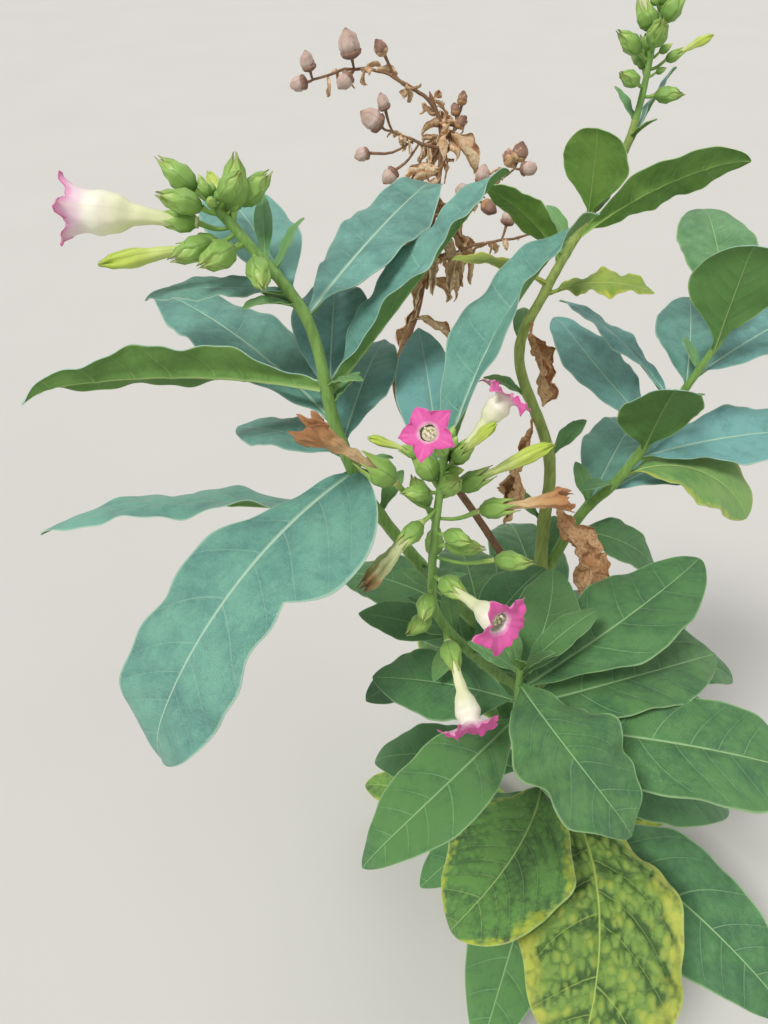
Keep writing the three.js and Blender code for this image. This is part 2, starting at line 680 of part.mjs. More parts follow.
const plant = new THREE.Group();

function add(name, body, colour, roughness) {
  const material = new THREE.MeshStandardMaterial({ color: COLOURS[colour], roughness, metalness: 0 });
  const mesh = new THREE.Mesh(geometryOf(body), material);
  mesh.name = name;
  plant.add(mesh);
}

function addLeaves(prefix, limb, leaves, colour) {
  const limbWithGap = wholeLimb(limb, GAP);
  leaves.forEach((leaf, i) => {
    add(`${prefix}_leaf_${i + 1}`, leafBody(leaf, limb, limbWithGap), leaf.tint ?? colour, 0.6);
  });
}

const mainStemWithGap = stemBody(LIMBS.main_stem, GAP);
for (const [name, limb] of Object.entries(LIMBS)) {
  const body = name === 'main_stem' ? stemBody(limb) : stemBody(limb).subtract(mainStemWithGap);
  add(name, body, limb.colour, 0.75);
}
for (const [name, leaves] of Object.entries(LEAVES)) {
  addLeaves(name === 'main_stem' ? 'top' : name.split('_')[0], LIMBS[name], leaves, 'leafAbove');
}
addLeaves('low', LIMBS.main_stem, LOW_LEAVES, 'leafLow');
for (const [name, { limb, leaves, colour }] of Object.entries(LEAF_GROUPS)) {
  const limbWithGap = wholeLimb(LIMBS[limb], GAP);
  const bodies = leaves.map((leaf) => leafBody({ ...leaf, plain: true }, LIMBS[limb], limbWithGap));
  add(name, joined([sheath(LIMBS[limb], leaves), ...bodies]), colour, 0.6);
}
for (const [name, items] of Object.entries(FLOWERS)) {
  const prefix = name === 'main_stem' ? 'top' : name.split('_')[0];
  add(`${prefix}_flowers`, flowerHead(LIMBS[name], items), 'flowers', 0.6);
}
add('seed_head', seedHead(LIMBS.dry_stem), 'seedHead', 0.85);

export default plant;
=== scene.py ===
# A flowering tobacco plant: large drooping leaves, pink flowers, green pods and a dry seed head.
# The tables give millimetres and degrees; each piece becomes metres when it is finished.

import itertools
import math
import random
from functools import partial

import bmesh
import bpy
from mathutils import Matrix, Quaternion, Vector, noise


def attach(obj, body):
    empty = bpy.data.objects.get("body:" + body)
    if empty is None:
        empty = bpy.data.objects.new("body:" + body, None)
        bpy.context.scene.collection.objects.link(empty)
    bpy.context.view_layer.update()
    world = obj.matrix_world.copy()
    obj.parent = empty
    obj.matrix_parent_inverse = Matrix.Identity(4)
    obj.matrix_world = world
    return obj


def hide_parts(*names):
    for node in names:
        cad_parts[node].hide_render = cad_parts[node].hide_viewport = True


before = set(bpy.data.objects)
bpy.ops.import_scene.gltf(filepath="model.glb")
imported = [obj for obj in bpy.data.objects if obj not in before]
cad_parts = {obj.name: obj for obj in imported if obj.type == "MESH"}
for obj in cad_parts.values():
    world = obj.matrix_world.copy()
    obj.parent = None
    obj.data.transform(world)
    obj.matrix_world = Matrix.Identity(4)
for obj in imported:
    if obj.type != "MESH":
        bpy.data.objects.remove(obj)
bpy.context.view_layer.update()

MM = 0.001
NOISE_SEED = 5

noise.seed_set(NOISE_SEED)  # without it, the vector noise differs from run to run

# The limbs: way-points, and the radius at the foot and the tip. Past "share" a limb is the axis of its head.

LINE_STEPS = 12  # samples for each stretch between two way-points
LIMBS = {
    "main_stem": dict(
        points=[(0, 0, 0), (-26, 3, 200), (-69, 8, 440), (-73, 25, 528), (-100, 38, 598),
                (-86, 52, 640), (-49, 75, 711), (-41, 88, 763), (-38, 94, 780)],
        foot=8.5, tip=1.4, share=0.93),
    "left_stem": dict(
        points=[(-47, 5, 310), (-120, -35, 430), (-185, -70, 560), (-208, -73, 622),
                (-220, -63, 678), (-247, -56, 715), (-260, -52, 729)],
        foot=5.2, tip=2.2, share=0.93),
    "middle_stem": dict(
        points=[(-38, 4, 265), (-98, -45, 380), (-150, -95, 500), (-159, -98, 550), (-155, -87, 628)],
        foot=4.8, tip=1.8, share=0.66),
    "right_stem": dict(
        points=[(-67, 8, 430), (-45, 22, 480), (-20, 27, 515), (9, 29, 592), (25, 34, 628)],
        foot=4.2, tip=1.8, share=1),
    "front_shoot": dict(
        points=[(-20, 2, 150), (-60, -60, 260), (-96, -105, 390), (-106, -113, 485)],
        foot=4.8, tip=1.8, share=1),
    "dry_stem": dict(
        points=[(-60, 7, 385), (-120, 25, 480), (-176, 34, 572), (-162, 66, 626), (-150, 112, 700),
                (-158, 122, 730)],
        foot=3.2, tip=1.3, share=0.64),
}
FLARE_HEIGHT = 45  # the main stem widens towards the ground over this height
FLARE_RADIUS = 5  # and by so much


def leaf(share, azimuth, rise, bend, length, width, **more):
    row = dict(turn=0, roll=0, fold=10, arch=0.15, widest=0.5, hollow=1.3, point=0.72, ear=0, look="fresh",
               wave=0.9, pucker=1, bubbles=0.35, curl=0, crumple=0)
    row.update(share=share, azimuth=azimuth, rise=rise, bend=bend, length=length, width=width, **more)
    return row


deep_leaf = partial(leaf, look="deep")
dead_leaf = partial(leaf, look="dry", crumple=1)


# The large leaves, one for each solid: where they leave the limb, which way they point and how they bend.
# Hollow and point shape the outline towards the foot and the tip, and an ear is a lobe of the left half
# beside the foot. Wave is how much the margin waves, pucker how far the skin swells between the side veins,
# bubbles how far between the finer ones, in millimetres, and curl how far a dead leaf has rolled up.

LEAVES = {
    "left": ("left_stem", [
        leaf(0.695, -131, 2, -72, 190, 68, turn=-4, widest=0.68, hollow=0.5, ear=1.33, wave=1.5),
        leaf(0.615, 180, 18, -32, 185, 52, turn=10, roll=-25),
        leaf(0.76, 128, 12, -12, 155, 58, turn=13),
        leaf(0.8, 172, 6, -13, 148, 38, turn=20, roll=-55, fold=25, widest=0.42, point=0.95),
        leaf(0.89, 118, 28, -35, 100, 46),
        leaf(0.9, 176, 6, -20, 67, 26, point=0.9),
        leaf(0.87, 67, 9, -12, 176, 44),
        leaf(0.795, 50, 26, 0, 160, 42, roll=35, fold=34),
        leaf(0.78, 90, 30, -35, 97, 42),
        leaf(0.73, 77, 22, -35, 95, 34),
        leaf(0.715, 145, 5, -30, 78, 40),
    ]),
    "middle": ("middle_stem", [
        leaf(0.975, 70, 33, -21, 184, 46, turn=-26, roll=25, fold=35, widest=0.4, point=1.1),
        leaf(0.94, 95, 33, -30, 105, 36),
    ]),
    "right": ("right_stem", [
        leaf(0.72, 129, 36, -35, 109, 26, roll=-20),
        leaf(0.62, 124, 18, -5, 118, 52, turn=-12),
        leaf(0.78, 75, 28, -35, 95, 46),
        leaf(0.55, -95, 76, -15, 72, 54, widest=0.55, point=0.6),
        leaf(0.82, 32, 18, -20, 125, 40),
        leaf(0.9, -95, 86, -4, 72, 54, widest=0.62, point=0.5),
        leaf(0.97, 88, 38, -28, 100, 50, widest=0.58, point=0.5, look="young"),
        leaf(0.52, 5, 18, -30, 145, 52, turn=5),
        leaf(0.45, 0, 36, -90, 96, 66, turn=-44, widest=0.55, point=0.6, look="pale", wave=1.3),
        deep_leaf(0.2, -5, 0, -55, 80, 42, pucker=1.6),
    ]),
    "top": ("main_stem", [
        leaf(0.9, 48, 55, -25, 66, 18, roll=60),
        leaf(0.865, -125, 82, -5, 50, 40, widest=0.58, hollow=1, point=0.5, look="young"),
        leaf(0.85, -4, 46, -40, 100, 34, turn=10, roll=75, look="young"),
        leaf(0.83, 184, 58, -35, 70, 26, roll=-40, look="young"),
    ]),
    "front": ("front_shoot", [
        deep_leaf(0.98, 36, 30, -35, 66, 20),
        deep_leaf(0.96, 54, 15, -15, 88, 42, turn=30),
        deep_leaf(0.93, 29, 12, -20, 175, 66, turn=16),
        deep_leaf(0.88, 10, 10, -30, 155, 58, turn=20),
        deep_leaf(0.82, -20, 25, -55, 200, 78, turn=20),
        deep_leaf(0.95, -75, 20, -55, 106, 68, turn=32, wave=2.6),
        deep_leaf(0.85, -127, 25, -62, 138, 50, turn=-22, wave=1.2),
        deep_leaf(0.9, 180, 30, -50, 92, 50, turn=-15),
        leaf(0.22, -106, 22, -55, 156, 104, turn=-44, point=0.6, look="edged", wave=1.5,
             pucker=1.2, bubbles=0.8),
    ]),
    "low": ("main_stem", [
        leaf(0.17, -74, 40, -82, 260, 140, turn=-44, widest=0.58, point=0.6, look="ageing", wave=2.1,
             pucker=2, bubbles=3.6),
        deep_leaf(0.1, -45, 28, -50, 260, 112, turn=-6),
        deep_leaf(0.11, -114, 16, -35, 230, 85),
        deep_leaf(0.16, -145, 25, -50, 165, 66),
    ]),
}

# Groups of leaves, each group one solid: those of the hidden side and of the stems' lower parts, the small
# young ones under the top, and the dead ones that hang on the main stem.

LEAF_GROUPS = {
    "base_leaves": ("main_stem", [
        leaf(0.06, 165, 14, -30, 205, 84, look="edged"),
        leaf(0.07, 85, 18, -40, 215, 90, look="ageing", pucker=1.5, bubbles=2.4),
        leaf(0.08, 15, 16, -36, 200, 84, look="edged"),
    ]),
    "lower_leaves": ("main_stem", [
        leaf(0.235, 125, 30, -65, 215, 95, look="edged", pucker=1),
        deep_leaf(0.26, 0, 32, -70, 200, 88),
        deep_leaf(0.285, 65, 35, -70, 200, 90),
    ]),
    "inner_leaves": ("main_stem", [
        deep_leaf(0.364, 145, 35, -70, 180, 80), deep_leaf(0.368, 35, 35, -68, 185, 80),
    ]),
    "upper_leaves": ("main_stem", [
        deep_leaf(0.42, 95, 35, -65, 165, 72), deep_leaf(0.435, -12, 30, -60, 150, 66),
        deep_leaf(0.45, 168, 22, -50, 140, 58),
    ]),
    "left_back_leaves": ("left_stem", [
        deep_leaf(0.31, 148, 15, -45, 115, 50), deep_leaf(0.28, 95, 15, -50, 105, 46),
    ]),
    "right_back_leaves": ("right_stem", [leaf(0.3, 60, 25, -50, 125, 54), leaf(0.37, 25, 20, -45, 120, 50)]),
    "front_under_leaves": ("front_shoot", [
        deep_leaf(0.4, -8, 28, -65, 165, 74), deep_leaf(0.5, 172, 22, -55, 125, 56),
        deep_leaf(0.62, 22, 25, -55, 130, 58),
    ]),
    "middle_under_leaves": ("middle_stem", [
        deep_leaf(0.46, -165, 15, -45, 85, 38), deep_leaf(0.53, 50, 30, -50, 90, 40),
        deep_leaf(0.62, 170, 28, -35, 60, 28),
    ]),
    "top_young_leaves": ("main_stem", [
        leaf(0.81, -168, 39, -40, 65, 20, look="yellow"),
        leaf(0.805, -26, 35, -45, 64, 26, look="yellow", wave=2.4),
    ]),
    "dry_leaves": ("main_stem", [
        dead_leaf(0.78, -75, -20, -60, 54, 26, curl=2.2),
        dead_leaf(0.7, -120, -45, -40, 78, 26, curl=2.4),
        dead_leaf(0.62, -50, -25, -60, 85, 38, curl=1.8),
    ]),
}

# Young leaves in the axils and under the heads, too small for solids of their own: share, azimuth, rise,
# bend, length, width.

SPROUTS = {
    "left_stem": [
        (0.88, 150, 20, -30, 30, 11), (0.885, -150, 30, -40, 26, 10), (0.93, 95, 50, -20, 34, 9),
        (0.92, 20, 62, -10, 26, 7), (0.8, -30, 40, -30, 22, 9), (0.78, 20, 55, -20, 20, 8),
        (0.7, -20, 45, -30, 24, 9), (0.62, 60, 45, -40, 28, 11), (0.5, -60, 35, -40, 30, 12),
        (0.4, 150, 30, -40, 34, 14),
    ],
    "middle_stem": [
        (0.6, -120, 25, -40, 34, 14), (0.62, 100, 40, -30, 30, 12), (0.54, -30, 35, -40, 36, 15),
        (0.64, -170, 40, -20, 26, 9), (0.45, 110, 30, -40, 40, 16), (0.7, 150, 35, -30, 22, 6),
        (0.78, 20, 20, -30, 20, 5),
    ],
    "right_stem": [
        (0.3, 100, 40, -30, 34, 14), (0.4, -150, 35, -40, 32, 12), (0.55, 60, 50, -20, 26, 10),
        (0.7, -30, 60, -20, 24, 9), (0.84, 120, 50, -20, 22, 8), (0.99, 10, 70, -10, 26, 9),
        (0.995, 140, 65, -10, 24, 9),
    ],
    "front_shoot": [
        (0.99, 120, 60, -20, 30, 12), (0.995, -110, 70, -10, 22, 8), (0.99, -10, 62, -20, 26, 9),
        (0.98, 160, 40, -30, 36, 14), (0.75, 100, 30, -40, 42, 18), (0.6, -60, 30, -40, 40, 16),
        (0.5, 30, 35, -40, 44, 20), (0.4, 150, 35, -40, 40, 18), (0.32, -10, 30, -40, 44, 20),
    ],
    "main_stem": [
        (0.84, 120, 50, -30, 30, 10), (0.82, 60, 40, -30, 28, 10),
        (0.86, 40, 50, -30, 26, 8), (0.92, -60, 50, -20, 20, 6), (0.93, 130, 50, -20, 22, 6),
        (0.76, 80, 40, -40, 34, 13), (0.72, 160, 35, -40, 30, 12), (0.66, 40, 40, -30, 36, 14),
        (0.6, 140, 35, -40, 40, 17), (0.55, 70, 35, -40, 44, 19), (0.5, 160, 35, -40, 46, 20),
        (0.39, -30, 30, -40, 46, 20), (0.34, 170, 30, -40, 50, 22), (0.26, -40, 30, -40, 48, 21),
    ],
}

TINY_BUDS = 7  # closed flower buds round the tip of each axis

# The heads: where each stalk leaves the axis, its azimuth and rise, its length, what it carries, its size,
# and how much longer than the others a corolla is.

HEADS = {
    "left_flowers": ("left_stem", [
        (0.97, 180, 8, 15, "flower", 1, 1.35), (0.955, -172, -4, 10, "bud", 1, 1.15),
        (0.97, 75, 70, 6, "pod", 1.15),
        (1, 160, 35, 6, "pod", 1), (0.985, -160, 25, 8, "pod", 1), (0.955, -120, 0, 8, "pod", 1.1),
        (0.965, -145, -8, 12, "pod", 1), (0.945, -75, -15, 6, "pod", 1), (0.98, 40, 30, 8, "pod", 1),
        (0.965, 115, 20, 9, "bud", 0.7), (0.99, -30, 50, 6, "pod", 0.9),
    ]),
    "middle_flowers": ("middle_stem", [
        (0.69, -76, -18, 11, "flower", 1.15), (0.8, -55, 13, 8, "flower", 1.12),
        (0.98, -112, 50, 8, "flower", 0.85),
        (0.95, 30, 47, 8, "flower", 1), (0.96, -15, 55, 8, "bud", 0.7), (0.93, 165, 62, 7, "pod", 1.1),
        (0.93, -60, 50, 5, "pod", 1), (0.9, -172, 45, 31, "withered", 1.28),
        (0.92, 12, 25, 10, "bud", 1, 1.15),
        (0.89, -8, 20, 22, "withered", 1), (0.85, -12, 5, 6, "pod", 1), (0.83, -10, 5, 32, "pod", 1),
        (0.91, -138, -24, 12, "fading", 0.95), (0.78, -105, -5, 6, "pod", 1), (0.73, -130, 5, 5, "pod", 1),
        (0.97, 175, 20, 12, "bud", 0.6), (0.93, -155, 15, 6, "pod", 0.8), (0.8, 85, 20, 10, "pod", 1),
        (0.88, 115, 25, 10, "pod", 1), (0.87, -45, 20, 7, "pod", 0.9),
    ]),
    "top_flowers": ("main_stem", [
        (0.975, 150, 62, 6, "flower", 1), (0.98, 10, 62, 6, "flower", 1), (0.99, 80, 70, 4, "flower", 0.9),
        (0.97, -100, 45, 6, "pod", 1), (0.96, -5, 30, 9, "bud", 0.55), (0.945, -25, 8, 6, "pod", 0.8),
        (0.95, -150, 25, 6, "pod", 0.8), (0.955, 95, 35, 8, "pod", 1), (0.965, 185, 35, 7, "pod", 0.9),
    ]),
}
COROLLA_LENGTH = 46
MOUTH_RADIUS = 14.5
LOBES = 5
CALYX_LENGTH = 20
CALYX_RADIUS = 5.4

# Twigs of the dry seed head: share, azimuth, rise, bend, length, and the capsules: the share of the twig
# where the stalk leaves it, the degrees that it swings from the twig, its rise, the stalk's length, and the
# size.

TWIGS = [
    (0.975, 178, 47, -70, 80, [
        (1, 0, 75, 4, 0.9), (1, 0, -15, 3, 0.9), (0.68, 0, 78, 5, 1.3), (0.32, 0, 55, 16, 0.8),
        (0.68, 40, -35, 3, 0.9)]),
    (0.92, 185, 22, -10, 36, [
        (1, 0, 35, 3, 1.25), (0.9, 0, 70, 12, 0.8), (0.5, 10, -10, 28, 0.8), (0.4, 20, -40, 20, 0.9),
        (0.05, 20, -50, 14, 0.8)]),
    (0.79, 22, 40, -12, 66, [
        (1, 80, 20, 3, 1), (1, 0, 75, 3, 1), (1, -60, 10, 4, 0.9), (0.5, 90, 10, 5, 0.9),
        (0.6, 40, 70, 5, 0.9), (0.55, -60, -20, 6, 0.9)]),
    (0.76, -6, 22, -12, 66, [(1, 0, 10, 3, 1), (0.72, 60, 60, 8, 0.9)]),
    (0.88, 50, 62, 0, 40, [
        (1, 0, 80, 2, 0.65), (0.85, 60, 60, 2, 0.6), (0.7, -60, 50, 2, 0.7), (0.55, 80, 40, 2, 0.6)]),
]
CAPSULE_LENGTH = 13
CAPSULE_RADIUS = 4.8
GOLDEN_ANGLE = 137.5
TWIG_SCRAPS = 12  # shrivelled bracts on each twig
TUFT_SCRAPS = 34  # and in the tuft round the top of the axis
HANGING_SCRAPS = 5  # longer shreds that hang from the foot of each of these twigs
HANGING_TWIGS = (2, 3)
AXIS_LEAVES = 6  # shrivelled leaves up the axis
LEAF_SHREDS = 3  # and the shreds beside each of them


# Directions and paths

def heading(azimuth, rise):
    """The direction with this azimuth and this rise over the level, in degrees."""
    level = math.cos(math.radians(rise))
    turn = math.radians(azimuth)
    return Vector((level * math.cos(turn), level * math.sin(turn), math.sin(math.radians(rise))))


class Path:
    """A line through space, read by the share of its length."""

    def __init__(self, points):
        self.points = points
        self.reached = [0.0]
        for a, b in zip(points, points[1:]):
            self.reached.append(self.reached[-1] + (b - a).length)
        self.length = self.reached[-1]
        self.stretch = 0

    def at(self, share):
        goal = share * self.length
        i = min(self.stretch, len(self.points) - 2)
        while i > 0 and self.reached[i] > goal:
            i -= 1
        while i < len(self.points) - 2 and self.reached[i + 1] < goal:
            i += 1
        self.stretch = i
        part = (goal - self.reached[i]) / max(self.reached[i + 1] - self.reached[i], 1e-9)
        return self.points[i].lerp(self.points[i + 1], part)

    def ahead(self, share):
        return (self.at(min(share + 0.01, 1)) - self.at(max(share - 0.01, 0))).normalized()


def limb_path(points):
    """A smooth path through way-points."""
    way = [Vector(point) for point in points]
    way = [2 * way[0] - way[1]] + way + [2 * way[-1] - way[-2]]
    line = []
    for a, b, c, d in zip(way, way[1:], way[2:], way[3:]):
        for step in range(LINE_STEPS):
            t = step / LINE_STEPS
            bent = (2 * a - 5 * b + 4 * c - d) * t ** 2 + (3 * b - 3 * c + d - a) * t ** 3
            line.append((2 * b + (c - a) * t + bent) / 2)
    return Path(line + [way[-2]])


def arc_path(start, length, heading_at, steps=96):
    """A path whose heading is given for each share of its length."""
    points = [start.copy()]
    for i in range(steps):
        points.append(points[-1] + heading_at((i + 0.5) / steps) * (length / steps))
    return Path(points)


PATHS = {name: limb_path(limb["points"]) for name, limb in LIMBS.items()}


def limb_radius(name, share):
    limb = LIMBS[name]
    return limb["foot"] + (limb["tip"] - limb["foot"]) * share


# Bmesh helpers

def poured_in(target, source):
    """Adds one bmesh to another and frees it."""
    mesh = bpy.data.meshes.new("poured")
    source.to_mesh(mesh)
    source.free()
    target.from_mesh(mesh)
    bpy.data.meshes.remove(mesh)


def new_bmesh():
    """An empty bmesh with the layers that the skins read."""
    bm = bmesh.new()
    bm.loops.layers.uv.new("blade")
    bm.verts.layers.float.new("edge")
    bm.verts.layers.float.new("quilt")
    return bm


def sleeve(sides, rings, place, walled=False, material=0, inside=None, uv_length=1.0):
    """A tube of faces. Place gives the point for an angle, a share along it and a side: 0 inside, 1 outside.
    A walled tube has both sides, and the inner one may have a material of its own."""
    bm = new_bmesh()
    bmesh.ops.create_cone(bm, cap_ends=not walled, segments=sides, radius1=1, radius2=1, depth=1)
    upright = [edge for edge in bm.edges if abs(edge.verts[0].co.z - edge.verts[1].co.z) > 0.5]
    bmesh.ops.subdivide_edges(bm, edges=upright, cuts=rings - 1, use_grid_fill=False)
    if walled:
        made = bmesh.ops.extrude_face_region(bm, geom=bm.faces[:], use_keep_orig=True)
        outer = [item for item in made["geom"] if isinstance(item, bmesh.types.BMVert)]
        bmesh.ops.scale(bm, vec=(2, 2, 1), verts=outer)
        bmesh.ops.recalc_face_normals(bm, faces=bm.faces[:])
    uv = bm.loops.layers.uv["blade"]
    for face in bm.faces:
        face.smooth = True
        centre = face.calc_center_median()
        inner = inside is not None and centre.xy.length < 1.2
        face.material_index = inside if inner else material
        middle = math.atan2(centre.y, centre.x)
        for loop in face.loops:
            angle = math.atan2(loop.vert.co.y, loop.vert.co.x)
            angle += 2 * math.pi * round((middle - angle) / (2 * math.pi))
            loop[uv].uv = (angle / (2 * math.pi), (loop.vert.co.z + 0.5) * uv_length)
        if len(face.verts) > 4:
            for edge in face.edges:
                edge.smooth = False
    for vert in bm.verts:
        angle = math.atan2(vert.co.y, vert.co.x)
        side = 1 if vert.co.xy.length > 1.5 else 0
        vert.co = place(angle, vert.co.z + 0.5, side)
    bmesh.ops.remove_doubles(bm, verts=bm.verts[:], dist=1e-4)
    return bm


def tube_place(path, radius_at, start=0.0, end=1.0):
    """Places a sleeve's rings round a path, from one share of it to another."""
    whole = (path.at(1) - path.at(0)).normalized()
    reference = Vector((0, 1, 0)) if abs(whole.y) < 0.8 else Vector((1, 0, 0))

    def place(angle, share, side):
        along = start + (end - start) * share
        ahead = path.ahead(along)
        across = reference.cross(ahead).normalized()
        other = ahead.cross(across)
        out = across * math.cos(angle) + other * math.sin(angle)
        return path.at(along) + out * radius_at(along, angle)
    return place


def finished(name, bm, materials, slot, node=None):
    """Turns a bmesh into a piece of the plant, in metres, fixed to the root, hiding the part it replaces."""
    bmesh.ops.scale(bm, vec=(MM, MM, MM), verts=bm.verts[:])
    mesh = bpy.data.meshes.new(name)
    bm.to_mesh(mesh)
    bm.free()
    for material in materials:
        mesh.materials.append(material)
    piece = bpy.data.objects.new(name, mesh)
    bpy.context.collection.objects.link(piece)
    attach(piece, "root")
    if node:
        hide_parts(node)
    return piece


# Materials

def colour(text):
    """A hex colour as people write it, turned to linear light."""
    parts = [int(text[i:i + 2], 16) / 255 for i in (0, 2, 4)]
    return tuple(p / 12.92 if p <= 0.04045 else ((p + 0.055) / 1.055) ** 2.4 for p in parts) + (1.0,)


def add(tree, kind, *inputs, named=None, **settings):
    """Adds a node. The inputs fill its enabled sockets in order, and named fills sockets by name."""
    made = tree.nodes.new("ShaderNode" + kind)
    for setting, value in settings.items():
        setattr(made, setting, value)
    pairs = list(zip([socket for socket in made.inputs if socket.enabled], inputs))
    pairs += [(made.inputs[name], value) for name, value in (named or {}).items()]
    for socket, value in pairs:
        if isinstance(value, bpy.types.Node):
            value = [output for output in value.outputs if output.enabled][0]
        if isinstance(value, bpy.types.NodeSocket):
            tree.links.new(value, socket)
        elif value is not None:
            socket.default_value = value
    return made


def started(name):
    """A new material without nodes, and the function that adds nodes to it."""
    material = bpy.data.materials.new(name)
    material.use_nodes = True
    material.node_tree.nodes.clear()
    return material, partial(add, material.node_tree)


SMOOTH = {"interpolation_type": "SMOOTHSTEP"}
BLEND = {"data_type": "RGBA"}

# Millimetres from one feature of a pattern to the next. Hairs, grit and grain are drawn coarser than real
# ones, so that they show.

LEAF_MOTTLE = 26.3
LEAF_HAIRS = 1.11
YELLOW_PATCHES = 16.67
BURNT_SPOTS = 9.09
STEM_STREAKS = (2.38, 2.38, 21.7)  # long ones, up the stem
STEM_AGE = 33.3
STEM_GRIT = 1.43
PETAL_GRAIN = 2.86
DEAD_BLOTCHES = 16.67
DEAD_SPOTS = 2
FLOOR_CLOUDS = 333


def per_metre(spacing):
    """The scale of a pattern, from its spacing in millimetres."""
    return 1 / (spacing * MM)


def closed(make, base, height, roughness, bump, distance, sheen):
    """Ends a material: a bump from the height, and the shader. The sheen stands for fine hairs or dust."""
    normal = make("Bump", named={"Height": height, "Strength": bump, "Distance": distance})
    shader = make("BsdfPrincipled", named={
        "Base Color": base, "Roughness": roughness, "Normal": normal, "Sheen Weight": sheen})
    make("OutputMaterial", shader)


# Side veins of a leaf. Lengths here are shares of the leaf's length. A leaf's number is the whole part of its
# U, so that each leaf has its own veins and tone.

VEIN_PAIRS = 9  # on its length
VEIN_SLANT = 0.42  # how far they slant towards the tip
VEIN_CURVE = 2.3  # and how far they bend towards it
VEIN_STAGGER = 0.35  # how far the right half's veins lie ahead of the left half's
VEIN_UNEVEN = [(0.3, 7.0, 1.7), (0.13, 17.0, 2.9)]  # size, rate and shift per leaf of two waves in their rows
VEIN_WIDTH = 0.034  # share of the distance between two
RIB_WIDTH = 0.0105  # half width of the midrib at the foot
RIB_TAPER = 0.0085  # and how much it loses on the way to the tip
NET_CELLS = 44  # cells of the finest net on the length
BURNT = "8f6238"  # dead spots on a yellow margin


def vein_row(share, spread, number):
    """Whole numbers and a half lie on the side veins."""
    away = abs(spread)
    hand = 1 if spread > 0 else 0
    foot = share - VEIN_SLANT * away - VEIN_CURVE * away ** 2
    row = foot * VEIN_PAIRS + VEIN_STAGGER * hand
    for size, rate, shift in VEIN_UNEVEN:
        row += size * math.sin(rate * foot + shift * (number + VEIN_STAGGER * hand))
    return row


